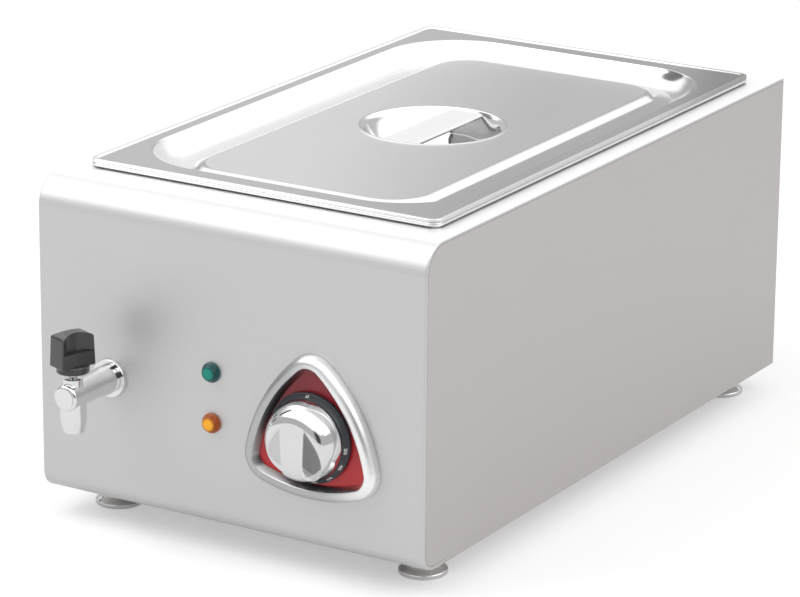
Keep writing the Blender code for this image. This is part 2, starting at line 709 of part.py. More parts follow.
def make_feet():
    """Turned bell feet, each with its stud and the nut that holds it above the base plate."""
    top = FOOT_HEIGHT - FIT_GAP
    outer = [(FOOT_RADIUS * r, top * h) for r, h in FOOT_PROFILE_SHARES]
    profile = [
        (0, top + FOOT_STUD_LENGTH), (FOOT_STUD_RADIUS, top + FOOT_STUD_LENGTH), (FOOT_STUD_RADIUS, top)
    ]
    profile += [(FOOT_NECK_RADIUS, top)] + outer + [(FOOT_RADIUS, 0), (0, 0)]
    for name, x, y in foot_places():
        turned("foot_" + name, profile, CHROME, (x, y, 0), steps=ROUND_STEPS)
        hexagon(
            "foot_nut_" + name, FOOT_NUT_ACROSS, FOOT_NUT_HEIGHT, (x, y, FOOT_HEIGHT + SHEET + FIT_GAP),
            ZINC, (0, 0, 1), FOOT_STUD_RADIUS + FIT_GAP,
        )


def make_base_screws():
    radius, head = BASE_SCREW_RADIUS, BASE_SCREW_HEAD
    seat = FOOT_HEIGHT - FIT_GAP
    profile = [
        (0, seat + BASE_SCREW_LENGTH), (radius / 2, seat + BASE_SCREW_LENGTH),
        (radius, seat + BASE_SCREW_LENGTH - radius), (radius, seat), (head, seat),
        (head, seat - BASE_SCREW_HEAD_HEIGHT / 2), (head / 2, seat - BASE_SCREW_HEAD_HEIGHT),
        (0, seat - BASE_SCREW_HEAD_HEIGHT),
    ]
    for name, x, y in base_screw_places():
        turned("base_screw_" + name, profile, ZINC, (x, y, 0), steps=SMALL_STEPS // 2)


def make_water_tank():
    """The open tank under the deck: mouth flange, upright walls, bent floor edge, drain hole, studs."""
    half_x, half_y, corner = TANK_HALF_WIDTH, TANK_HALF_LENGTH, TANK_CORNER
    wide = TANK_FLANGE
    loops = [rounded_rectangle(half_x + wide, half_y + wide, corner, TANK_TOP_Z)]
    mouth = arc(TANK_MOUTH_BEND, -TANK_MOUTH_BEND, TANK_MOUTH_BEND, RIGHT_ANGLE, math.pi, EDGE_STEPS)
    loops += [
        rounded_rectangle(half_x + out, half_y + out, corner + out, TANK_TOP_Z + drop) for out,
        drop in mouth
    ]
    bend = TANK_FLOOR_BEND
    floor = arc(0, 0, bend, 0, -RIGHT_ANGLE, EDGE_STEPS)
    for out, drop in floor:
        pull = bend - out
        loops.append(
            rounded_rectangle(half_x - pull, half_y - pull, corner - pull, TANK_FLOOR_Z + bend + drop)
        )
    mesh = mesh_of("water_tank", skin(loops, floor=True))
    tank = thicken(add_object("water_tank", mesh, POLISHED, (0, WELL_CENTRE_Y, 0)), SHEET)
    start = (TAP_X, TANK_FRONT_Y - SHEET - OVERRUN, TAP_Z)
    end = (TAP_X, TANK_FRONT_Y + OVERRUN, TAP_Z)
    boolean(tank, rod("drain_hole", DRAIN_HOLE_RADIUS, start, end))
    for index, (x, y) in enumerate(stud_places()):
        top = TANK_UNDERSIDE_Z + WELD_OVERLAP
        tail = BAR_TOP_Z - BAR_THICKNESS - FIT_GAP - BAR_NUT_HEIGHT - STUD_TAIL
        boolean(tank, rod(f"clamp_stud_{index}", STUD_RADIUS, (x, y, tail), (x, y, top)), "UNION")
    x, y = cutout_place()
    tail = TANK_UNDERSIDE_Z - FIT_GAP - CUTOUT_STUD
    boolean(tank, rod("cutout_stud", STUD_RADIUS, (x, y, tail), (x, y, top)), "UNION")


def stud_places():
    """Centres of the four studs, two for each clamp bar."""
    side = ELEMENT_RUN_SPACING
    return [
        (x, WELL_CENTRE_Y + y) for y in (-BAR_SPACING / 2, BAR_SPACING / 2) for x in (-side, side)
    ]


def cutout_place():
    """Centre of the stud that carries the dry-boil cut-out, between two runs of the element."""
    return ELEMENT_RUN_SPACING, WELL_CENTRE_Y


def make_drain_pipe():
    """The welded pipe between the tank's front wall and the tap's tail."""
    start = TAP_TAIL_LENGTH - DRAIN_PIPE_LAP
    end = TANK_FRONT_Y - SHEET - FIT_GAP
    pipe = rod(
        "drain_pipe", DRAIN_PIPE_RADIUS, (TAP_X, start, TAP_Z), (TAP_X, end, TAP_Z), POLISHED, ROUND_STEPS
    )
    bore = TAP_TAIL_RADIUS + FIT_GAP
    boolean(
        pipe,
        rod("drain_socket", bore, (TAP_X, start - OVERRUN, TAP_Z), (TAP_X, TAP_TAIL_LENGTH + FIT_GAP, TAP_Z))
    )
    boolean(pipe, rod("drain_bore", DRAIN_HOLE_RADIUS, (TAP_X, start, TAP_Z), (TAP_X, end + OVERRUN, TAP_Z)))


def make_tap():
    """The tap's casting, ball, end cap, rosette, lock nut and winged knob."""
    axis = (TAP_X, -TAP_STAND, TAP_Z)
    tip_top = TAP_SPOUT_TIP_LENGTH - TAP_SPOUT_DROP
    spout = [
        (0, TAP_BONNET_HEIGHT), (TAP_BONNET_RADIUS, TAP_BONNET_HEIGHT),
        (TAP_BONNET_RADIUS, TAP_SPOUT_CROWN * 2),
        (TAP_SPOUT_RADIUS, TAP_SPOUT_CROWN), (TAP_SPOUT_RADIUS, tip_top),
        (TAP_SPOUT_TIP_RADIUS, -TAP_SPOUT_DROP),
        (0, -TAP_SPOUT_DROP),
    ]
    body = turned("tap_body", spout, CHROME, axis, steps=ROUND_STEPS)
    seat = ROSETTE_HEIGHT + 2 * FIT_GAP
    nose = TAP_STAND + TAP_NOSE
    barrel = [
        (0, nose), (TAP_BARREL_RADIUS - TAP_NOSE_BEVEL, nose), (TAP_BARREL_RADIUS, nose - TAP_NOSE_BEVEL),
        (TAP_BARREL_RADIUS, TAP_STAND - TAP_BARREL_RADIUS * 2),
        (TAP_SHOULDER_RADIUS, seat + TAP_SHOULDER_RADIUS / 2), (TAP_SHOULDER_RADIUS, seat),
        (TAP_TAIL_RADIUS, seat), (TAP_TAIL_RADIUS, -TAP_TAIL_LENGTH), (0, -TAP_TAIL_LENGTH),
    ]
    facing = (RIGHT_ANGLE, 0, 0)
    boolean(body, turned("tap_barrel", barrel, None, (TAP_X, 0, TAP_Z), facing), "UNION")
    chamber = [
        (0, nose - TAP_STAND + OVERRUN), (TAP_CHAMBER, nose - TAP_STAND + OVERRUN), (TAP_CHAMBER, 0),
    ]
    chamber += arc(0, 0, TAP_CHAMBER, 0, -RIGHT_ANGLE, BEND_STEPS)[1:]
    boolean(body, turned("tap_chamber", chamber, None, axis, facing, steps=SMALL_STEPS))
    boolean(body, rod("tap_waterway", TAP_WATERWAY, axis, (TAP_X, TAP_TAIL_LENGTH + OVERRUN, TAP_Z)))
    boolean(
        body,
        rod("tap_spout_bore", TAP_SPOUT_BORE, axis, (TAP_X, -TAP_STAND, TAP_Z - TAP_SPOUT_DROP - OVERRUN))
    )
    stem_bore = TAP_STEM_RADIUS + FIT_GAP
    boolean(
        body,
        rod("tap_stem_bore", stem_bore, axis, (TAP_X, -TAP_STAND, TAP_Z + TAP_BONNET_HEIGHT + OVERRUN))
    )
    make_tap_ball(axis)
    make_tap_end_cap(nose)
    make_tap_fixings()
    make_tap_knob(axis)


def make_tap_ball(axis):
    """The ball and its stem in one turning, with an elbow port that is closed at rest."""
    radius = TAP_CHAMBER - FIT_GAP
    neck = math.acos(TAP_STEM_RADIUS / radius)
    profile = [(0, TAP_STEM_TOP), (TAP_STEM_RADIUS, TAP_STEM_TOP)]
    profile += arc(0, 0, radius, neck, -RIGHT_ANGLE, 2 * BEND_STEPS)
    ball = turned("tap_ball", profile[:-1] + [(0, -radius)], CHROME, axis, steps=SMALL_STEPS)
    x, y, z = axis
    boolean(
        ball,
        rod("ball_side_port", TAP_WATERWAY, axis, (x + radius + OVERRUN, y, z), steps=SMALL_STEPS - 4)
    )
    boolean(ball, rod("ball_down_port", TAP_WATERWAY, (x, y, z + FIT_GAP), (x, y, z - radius - OVERRUN)))


def make_tap_end_cap(nose):
    """The domed plug screwed into the nose to close the valve chamber."""
    plug = TAP_CHAMBER - FIT_GAP
    bottom = TAP_STAND + TAP_CHAMBER
    profile = [
        (0, nose + TAP_CAP_DOME), (plug * 2 / 3, nose + TAP_CAP_DOME / 2), (plug, nose - TAP_CAP_DOME),
        (plug, bottom), (0, bottom),
    ]
    turned("tap_end_cap", profile, CHROME, (TAP_X, 0, TAP_Z), (RIGHT_ANGLE, 0, 0), steps=SMALL_STEPS)


def make_tap_fixings():
    """The rosette on the panel's face and the nut behind it."""
    bore = TAP_TAIL_RADIUS + FIT_GAP
    outer = [(ROSETTE_RADIUS * r, FIT_GAP + ROSETTE_HEIGHT * h) for r, h in ROSETTE_PROFILE_SHARES]
    profile = outer + [(ROSETTE_RADIUS, FIT_GAP), (bore, FIT_GAP), (bore, FIT_GAP + ROSETTE_HEIGHT)]
    turned("tap_rosette", profile, CHROME, (TAP_X, 0, TAP_Z), (RIGHT_ANGLE, 0, 0), ring=True)
    hexagon(
        "tap_lock_nut", TAP_NUT_ACROSS, TAP_NUT_HEIGHT, (TAP_X, SHEET + FIT_GAP, TAP_Z), ZINC, (0, 1, 0),
        bore
    )


def knob_outline():
    """(y, z) outline of the winged knob's broad side, above its collar, round its arched top."""
    base, shoulder = TAP_KNOB_BASE + TAP_KNOB_COLLAR_HEIGHT, TAP_KNOB_BASE + TAP_KNOB_HEIGHT - TAP_KNOB_ARCH
    half, narrow = TAP_KNOB_LENGTH / 2, TAP_KNOB_LENGTH / 2 - TAP_KNOB_TAPER
    radius = (narrow ** 2 + TAP_KNOB_ARCH ** 2) / (2 * TAP_KNOB_ARCH)
    spread = math.asin(narrow / radius)
    centre = shoulder + TAP_KNOB_ARCH - radius
    crown = arc(0, centre, radius, RIGHT_ANGLE - spread, RIGHT_ANGLE + spread, BEND_STEPS)
    return [(-half, base), (half, base)] + crown


def make_tap_knob(axis):
    """The black winged knob: round collar, arched block and a thumb scoop on either broad side."""
    half = TAP_KNOB_THICKNESS / 2
    points = [(-half, y, z) for y, z in knob_outline()]
    grip = slab("tap_knob", points, (TAP_KNOB_THICKNESS, 0, 0), BLACK, TAP_KNOB_EDGE)
    grip.location = axis
    grip.rotation_euler = (0, 0, TAP_KNOB_REST_TURN)
    base = TAP_KNOB_BASE + TAP_KNOB_COLLAR_HEIGHT
    top = TAP_KNOB_BASE + TAP_KNOB_HEIGHT + OVERRUN
    collar = rod(
        "knob_collar", TAP_KNOB_COLLAR_RADIUS, (0, 0, TAP_KNOB_BASE), (0, 0, base + TAP_KNOB_EDGE * 2),
                 steps=ROUND_STEPS)
    depth = (TAP_KNOB_THICKNESS - TAP_KNOB_FIN) / 2
    reach = TAP_KNOB_LENGTH / 2 - TAP_KNOB_TAPER
    radius = (reach ** 2 + depth ** 2) / (2 * depth)
    ledge = base + TAP_KNOB_LEDGE_RISE
    cuts = [collar]
    for name, side in (("knob_scoop_left", -1), ("knob_scoop_right", 1)):
        x = side * (TAP_KNOB_FIN / 2 + radius)
        cuts.append(rod(name, radius, (x, 0, ledge), (x, 0, top), steps=2 * ROUND_STEPS))
    bore = TAP_STEM_RADIUS + FIT_GAP
    cuts.append(rod("knob_bore", bore, (0, 0, 0), (0, 0, TAP_STEM_TOP + FIT_GAP)))
    for cut in cuts:
        cut.parent = grip
        boolean(grip, cut, "UNION" if cut is collar else "DIFFERENCE")


def make_heating():
    """The bent element under the tank, its clamp bars and nuts, cut-out, bulb and clip."""
    element = tube("heater_element", element_path(), ELEMENT_RADIUS, ELEMENT)
    side = ELEMENT_RUN_SPACING * (ELEMENT_RUNS - 1) / 2
    leg_end = ELEMENT_Z - ELEMENT_ELBOW - ELEMENT_LEG
    for name, x in (("element_pin_left", -side), ("element_pin_right", side)):
        y = TANK_FRONT_Y + ELEMENT_END_MARGIN - ELEMENT_ELBOW
        pin = rod(
            name, ELEMENT_PIN_RADIUS, (x, y, leg_end + WELD_OVERLAP),
            (x, y, leg_end - ELEMENT_PIN_LENGTH),
                  steps=SMALL_STEPS // 2)
        boolean(element, pin, "UNION")
    for name, y in (("front", -BAR_SPACING / 2), ("rear", BAR_SPACING / 2)):
        centre = WELL_CENTRE_Y + y
        bar = block(
            "clamp_bar_" + name, (-BAR_LENGTH / 2, centre - BAR_WIDTH / 2, BAR_TOP_Z - BAR_THICKNESS),
            (BAR_LENGTH / 2, centre + BAR_WIDTH / 2, BAR_TOP_Z), ZINC,
        )
        for hand, x in (("left", -ELEMENT_RUN_SPACING), ("right", ELEMENT_RUN_SPACING)):
            low, high = BAR_TOP_Z - BAR_THICKNESS - OVERRUN, BAR_TOP_Z + OVERRUN
            hole = rod(f"{name}_{hand}_bar_hole", STUD_RADIUS + FIT_GAP, (x, centre, low), (x, centre, high))
            boolean(bar, hole)
            top = BAR_TOP_Z - BAR_THICKNESS - FIT_GAP
            hexagon(
                f"clamp_nut_{name}_{hand}", BAR_NUT_ACROSS, BAR_NUT_HEIGHT,
                (x, centre, top - BAR_NUT_HEIGHT),
                    ZINC, (0, 0, 1), STUD_RADIUS + FIT_GAP)
    make_cutout()
    make_sensor()


def element_path():
    """Centre line: down-turned front ends, four runs and the turns between them."""
    front, back = TANK_FRONT_Y + ELEMENT_END_MARGIN, 2 * WELL_CENTRE_Y - TANK_FRONT_Y - ELEMENT_END_MARGIN
    radius = ELEMENT_RUN_SPACING / 2
    first = -ELEMENT_RUN_SPACING * (ELEMENT_RUNS - 1) / 2
    elbow = arc(front, ELEMENT_Z - ELEMENT_ELBOW, ELEMENT_ELBOW, math.pi, RIGHT_ANGLE, ELEMENT_ELBOW_STEPS)
    start = [(front - ELEMENT_ELBOW, ELEMENT_Z - ELEMENT_ELBOW - ELEMENT_LEG)] + elbow
    points = [(first, y, z) for y, z in start]
    for run in range(ELEMENT_RUNS - 1):
        middle = first + run * ELEMENT_RUN_SPACING + radius
        if run % 2 == 0:
            bend = arc(middle, back - radius, radius, math.pi, 0, ELEMENT_TURN_STEPS)
        else:
            bend = arc(middle, front + radius, radius, math.pi, 2 * math.pi, ELEMENT_TURN_STEPS)
        points += [(x, y, ELEMENT_Z) for x, y in bend]
    return points + [(-first, y, z) for y, z in reversed(start)]


def make_cutout():
    """The dry-boil cut-out, a disc thermostat screwed on to its stud under the tank."""
    top = TANK_UNDERSIDE_Z - FIT_GAP
    profile = [
        (STUD_RADIUS + FIT_GAP, top), (CUTOUT_FLANGE_RADIUS, top),
        (CUTOUT_FLANGE_RADIUS, top - CUTOUT_FLANGE_HEIGHT),
        (CUTOUT_RADIUS, top - CUTOUT_FLANGE_HEIGHT), (CUTOUT_RADIUS, top - CUTOUT_HEIGHT),
        (0, top - CUTOUT_HEIGHT),
        (0, top - CUTOUT_STUD - FIT_GAP), (STUD_RADIUS + FIT_GAP, top - CUTOUT_STUD - FIT_GAP),
        (STUD_RADIUS + FIT_GAP, top),
    ]
    place = (*cutout_place(), 0)
    cutout = turned("overheat_cutout", profile[:-1], HOUSING, place, steps=SMALL_STEPS + 4, ring=True)
    x, y, bottom = place[0], place[1], top - CUTOUT_HEIGHT
    for name, side in (("cutout_blade_left", -1), ("cutout_blade_right", 1)):
        centre = x + side * BLADE_SPACING
        blade = block(
            name, (centre - BLADE_THICKNESS / 2, y - BLADE_WIDTH / 2, bottom - BLADE_LENGTH),
            (centre + BLADE_THICKNESS / 2, y + BLADE_WIDTH / 2, bottom + WELD_OVERLAP),
        )
        boolean(cutout, blade, "UNION")


def make_sensor():
    """The thermostat's bulb under the tank, with its fine tube to the thermostat, and its clip."""
    z = TANK_UNDERSIDE_Z - FIT_GAP - BULB_RADIUS
    front = WELL_CENTRE_Y - BULB_LENGTH
    back = front + BULB_LENGTH
    low = BAR_TOP_Z - BAR_THICKNESS - CAPILLARY_SAG
    thermostat_back = SHEET + FIT_GAP + THERMOSTAT_EAR + THERMOSTAT_DEPTH + FIT_GAP
    bend = CAPILLARY_BEND
    pass_y = thermostat_back + bend
    points = [
        (0, front + WELD_OVERLAP, z), (0, front - bend, z), (0, front - 2 * bend, low),
        (0, pass_y + bend, low),
        (bend, pass_y, low), (DIAL_X - bend, pass_y, low), (DIAL_X, pass_y - bend / 2, low),
        (DIAL_X, thermostat_back, low),
    ]
    sensor = tube("sensor_bulb", points, CAPILLARY_RADIUS, COPPER, resolution=1)
    bulb = rod("sensor_bulb_body", BULB_RADIUS, (0, front, z), (0, back, z))
    boolean(sensor, bulb, "UNION")
    middle, half = (front + back) / 2, CLIP_WIDTH / 2
    reach, top = BULB_RADIUS + FIT_GAP, TANK_UNDERSIDE_Z - FIT_GAP
    clip = block(
        "bulb_clip", (-CLIP_EARS / 2, middle - half, top - CLIP_WALL),
        (CLIP_EARS / 2, middle + half, top), ZINC
    )
    saddle = block(
        "clip_saddle", (-reach - CLIP_WALL, middle - half, top - 2 * reach - CLIP_WALL),
        (reach + CLIP_WALL, middle + half, top - CLIP_WALL / 2),
    )
    boolean(clip, saddle, "UNION")
    boolean(clip, rod("clip_bore", reach, (0, middle - half - OVERRUN, z), (0, middle + half + OVERRUN, z)))
    slot = block(
        "clip_slot", (-reach, middle - half - OVERRUN, z), (reach, middle + half + OVERRUN, top + OVERRUN)
    )
    boolean(clip, slot)


def bezel_outline(inset, height):
    """One loop round the three-cornered bezel, its apex up, on a local (x, y) plane."""
    reach = BEZEL_SIDE_REACH - BEZEL_CORNER_RADIUS
    c = BEZEL_CORNER_REACH
    back_off = (c ** 2 - reach ** 2) / (2 * reach - c)
    span = math.atan(c * math.sin(math.pi / 3) / (c / 2 + back_off))
    third = 2 * math.pi / 3
    points = []
    for corner in range(3):
        facing = RIGHT_ANGLE + corner * third
        u, v = c * math.cos(facing), c * math.sin(facing)
        radius = BEZEL_CORNER_RADIUS - inset
        points += arc(u, v, radius, facing - third / 2 + span, facing + third / 2 - span, BEZEL_CORNER_STEPS)
        side = facing + third / 2
        u, v = -back_off * math.cos(side), -back_off * math.sin(side)
        radius = back_off + BEZEL_SIDE_REACH - inset
        points += arc(u, v, radius, side - span, side + span, BEZEL_SIDE_STEPS)[1:-1]
    return [Vector((x, y, height)) for x, y in points]


def make_control_panel():
    """Bezel, red plate, dial skirt, chrome knob and the spindle they turn on."""
    place, facing = (DIAL_X, 0, DIAL_Z), (RIGHT_ANGLE, 0, 0)
    loops = [bezel_outline(0, FIT_GAP)]
    loops += [bezel_outline(BEZEL_RING * s, BEZEL_HEIGHT * h) for s, h in BEZEL_PROFILE_SHARES]
    ledge = BEZEL_PLATE + PLATE_THICKNESS + FIT_GAP
    seat = BEZEL_RING - BEZEL_LEDGE
    loops += [bezel_outline(BEZEL_RING, BEZEL_FLOOR), bezel_outline(BEZEL_RING, ledge)]
    loops += [bezel_outline(seat, ledge), bezel_outline(seat, FIT_GAP)]
    inner, outer = seat - BEZEL_WALL, BEZEL_WALL
    loops += [bezel_outline(inner, FIT_GAP), bezel_outline(inner - BEZEL_WALL / 4, BEZEL_HEIGHT - BEZEL_WALL)]
    loops += [bezel_outline(outer * 3 / 2, BEZEL_HEIGHT - 2 * BEZEL_WALL), bezel_outline(outer, FIT_GAP)]
    bm = skin(loops, close=True)
    bmesh.ops.recalc_face_normals(bm, faces=bm.faces)
    add_object("control_bezel", mesh_of("control_bezel", bm), SATIN, place, facing)
    outline = [Vector(point) for point in bezel_outline(seat + FIT_GAP, BEZEL_PLATE)]
    plate = slab("control_plate", outline, (0, 0, PLATE_THICKNESS), RED)
    plate.location, plate.rotation_euler = place, facing
    bore = rod("plate_hole", PLATE_HOLE, (0, 0, 0), (0, 0, BEZEL_PLATE + OVERRUN), steps=ROUND_STEPS)
    bore.parent = plate
    boolean(plate, bore)
    make_dial(place, facing)
    make_thermostat()


def make_dial(place, facing):
    """The numbered skirt, the scooped knob and the spindle."""
    bore = SPINDLE_RADIUS + FIT_GAP
    top, base = DIAL_BACK + DIAL_HEIGHT, DIAL_BACK
    flat = CAP_RADIUS + DIAL_SHOULDER
    under = top - DIAL_WALL
    skirt = [
        (bore, top), (flat, top), (DIAL_RADIUS - DIAL_LIP, top - DIAL_SLOPE),
        (DIAL_RADIUS, top - DIAL_SLOPE - DIAL_LIP),
        (DIAL_RADIUS, base), (DIAL_RADIUS - DIAL_WALL, base),
        (DIAL_RADIUS - DIAL_WALL, under - DIAL_SLOPE - DIAL_LIP),
        (flat - DIAL_WALL / 2, under), (HUB_RADIUS, under), (HUB_RADIUS, under - HUB_LENGTH),
        (bore, under - HUB_LENGTH),
    ]
    turned("dial_skirt", skirt, DIAL, place, facing, steps=ROUND_STEPS + 8, ring=True)
    head = CAP_BACK + CAP_HEIGHT
    cap = [(0, head)] + [(CAP_RADIUS * r, CAP_BACK + CAP_HEIGHT * h) for r, h in CAP_PROFILE_SHARES]
    cap += [
        (CAP_RADIUS, CAP_BACK), (bore, CAP_BACK), (bore, CAP_BACK + CAP_BORE_DEPTH),
        (0, CAP_BACK + CAP_BORE_DEPTH)
    ]
    knob = turned("control_knob", cap, CHROME, place, facing, steps=ROUND_STEPS + 8)
    for name, side in (("knob_scoop_west", -1), ("knob_scoop_east", 1)):
        bm = bmesh.new()
        bmesh.ops.create_uvsphere(bm, u_segments=SCOOP_STEPS, v_segments=SCOOP_STEPS // 2, radius=1)
        bmesh.ops.scale(bm, vec=(SCOOP_WIDTH, SCOOP_REACH, SCOOP_DEPTH), verts=bm.verts)
        scoop = add_object(
            name, mesh_of(name, bm), None, (side * SCOOP_OFFSET, -SCOOP_DROP, head), parent=knob
        )
        boolean(knob, scoop)
    rib = slab(
        "knob_rib", [(x, y, head - RIB_DROP) for x, y in (
            (-RIB_WIDTH / 2, -RIB_LENGTH / 2), (RIB_WIDTH / 2, -RIB_LENGTH / 2),
            (RIB_WIDTH / 2, RIB_LENGTH / 2), (-RIB_WIDTH / 2, RIB_LENGTH / 2),
        )], (0, 0, RIB_HEIGHT + RIB_DROP), None,
    )
    rib.parent = knob
    boolean(knob, rib, "UNION")
    start, end = -SHEET - 2 * FIT_GAP - THERMOSTAT_EAR - SPINDLE_ROOT, CAP_BACK + CAP_BORE_DEPTH - FIT_GAP
    spindle = rod("thermostat_spindle", SPINDLE_RADIUS, (0, 0, start), (0, 0, end), ZINC)
    bm = bmesh.new()
    bm.from_mesh(spindle.data)
    bmesh.ops.translate(bm, vec=(0, 0, (start + end) / 2), verts=bm.verts)
    bm.to_mesh(spindle.data)
    bm.free()
    spindle.location, spindle.rotation_euler = place, facing
    flat_cut = block(
        "spindle_flat", (-BUSH_RADIUS, SPINDLE_RADIUS - SPINDLE_FLAT, CAP_BACK),
        (BUSH_RADIUS, BUSH_RADIUS, end + OVERRUN)
    )
    flat_cut.parent = spindle
    boolean(spindle, flat_cut)


def make_thermostat():
    """The capillary thermostat behind the panel, its ears, bush, blades and two screws."""
    front = SHEET + FIT_GAP
    body_front = front + THERMOSTAT_EAR
    half_w, half_h = THERMOSTAT_WIDTH / 2, THERMOSTAT_HEIGHT / 2
    body = block(
        "thermostat_body", (DIAL_X - half_w, body_front - THERMOSTAT_EDGE, DIAL_Z - half_h),
        (DIAL_X + half_w, body_front + THERMOSTAT_DEPTH, DIAL_Z + half_h), HOUSING, THERMOSTAT_EDGE,
    )
    trim = block(
        "thermostat_trim", (DIAL_X - half_w - OVERRUN, -OVERRUN, DIAL_Z - half_h - OVERRUN),
        (DIAL_X + half_w + OVERRUN, body_front, DIAL_Z + half_h + OVERRUN),
    )
    boolean(body, trim)
    ear_w, ear_h = THERMOSTAT_EAR_WIDTH / 2, THERMOSTAT_EAR_HEIGHT / 2
    ears = block(
        "thermostat_ears", (DIAL_X - ear_w, front, DIAL_Z - ear_h),
        (DIAL_X + ear_w, body_front + WELD_OVERLAP, DIAL_Z + ear_h),
    )
    boolean(body, ears, "UNION")
    bush_start, bush_end = (DIAL_X, front + WELD_OVERLAP, DIAL_Z), (DIAL_X, front - BUSH_LENGTH, DIAL_Z)
    boolean(body, rod("thermostat_bush", BUSH_RADIUS, bush_start, bush_end), "UNION")
    root = body_front + SPINDLE_ROOT + FIT_GAP
    bore_end = (DIAL_X, front - BUSH_LENGTH - OVERRUN, DIAL_Z)
    boolean(body, rod("bush_bore", SPINDLE_RADIUS + FIT_GAP, (DIAL_X, root, DIAL_Z), bore_end))
    for name, side in (("upper", 1), ("lower", -1)):
        z = DIAL_Z + side * THERMOSTAT_SCREW_SPACING / 2
        hole = rod(name + "_ear_hole", PANEL_SCREW_RADIUS + FIT_GAP, (DIAL_X, front - OVERRUN / 2, z),
                   (DIAL_X, body_front + OVERRUN, z))
        boolean(body, hole)
        screw = [
            (0, FIT_GAP + PANEL_SCREW_HEAD_HEIGHT), (PANEL_SCREW_HEAD / 2, FIT_GAP + PANEL_SCREW_HEAD_HEIGHT),
            (PANEL_SCREW_HEAD, FIT_GAP + PANEL_SCREW_HEAD_HEIGHT / 3), (PANEL_SCREW_HEAD, FIT_GAP),
            (PANEL_SCREW_RADIUS, FIT_GAP), (PANEL_SCREW_RADIUS, -PANEL_SCREW_LENGTH),
            (0, -PANEL_SCREW_LENGTH),
        ]
        turned(
            "panel_screw_" + name, screw, ZINC, (DIAL_X, 0, z), (RIGHT_ANGLE, 0, 0),
            steps=SMALL_STEPS // 2
        )
        blade_z = DIAL_Z + side * THERMOSTAT_HEIGHT / 4
        back = body_front + THERMOSTAT_DEPTH
        blade = block(
            name + "_thermostat_blade",
            (DIAL_X - BLADE_WIDTH / 2, back - WELD_OVERLAP, blade_z - BLADE_THICKNESS / 2),
            (DIAL_X + BLADE_WIDTH / 2, back + BLADE_LENGTH, blade_z + BLADE_THICKNESS / 2),
        )
        boolean(body, blade, "UNION")


def make_lamps():
    """Two signal lamps: coloured lens with its shank through the panel, and body with blades behind."""
    facing = (RIGHT_ANGLE, 0, 0)
    bore = LENS_SHANK_RADIUS + FIT_GAP
    rear = SHEET + FIT_GAP
    for name, z, finish in (("green", LAMP_UPPER_Z, GREEN), ("amber", LAMP_LOWER_Z, AMBER)):
        lens = [(0, FIT_GAP + LENS_HEIGHT)]
        lens += [(LENS_RADIUS * r, FIT_GAP + LENS_HEIGHT * h) for r, h in LENS_PROFILE_SHARES]
        lens += [
            (LENS_RADIUS, FIT_GAP), (LENS_SHANK_RADIUS, FIT_GAP), (LENS_SHANK_RADIUS, -LENS_SHANK_LENGTH)
        ]
        lens += [(0, -LENS_SHANK_LENGTH)]
        turned("lamp_lens_" + name, lens, finish, (LAMP_X, 0, z), facing, steps=SMALL_STEPS + 8)
        body = [
            (0, -LENS_SHANK_LENGTH - FIT_GAP), (bore, -LENS_SHANK_LENGTH - FIT_GAP), (bore, -rear),
            (LAMP_BODY_RADIUS, -rear), (LAMP_BODY_RADIUS, -rear - LAMP_BODY_LENGTH),
            (0, -rear - LAMP_BODY_LENGTH),
        ]
        housing = turned("lamp_body_" + name, body, HOUSING, (LAMP_X, 0, z), facing, steps=SMALL_STEPS)
        back = rear + LAMP_BODY_LENGTH
        for hand, side in (("left", -1), ("right", 1)):
            x = LAMP_X + side * BLADE_SPACING / 2
            blade = block(
                f"{name}_{hand}_blade", (x - BLADE_THICKNESS / 2, back - WELD_OVERLAP, z - BLADE_WIDTH / 2),
                (x + BLADE_THICKNESS / 2, back + BLADE_LENGTH, z + BLADE_WIDTH / 2),
            )
            boolean(housing, blade, "UNION")


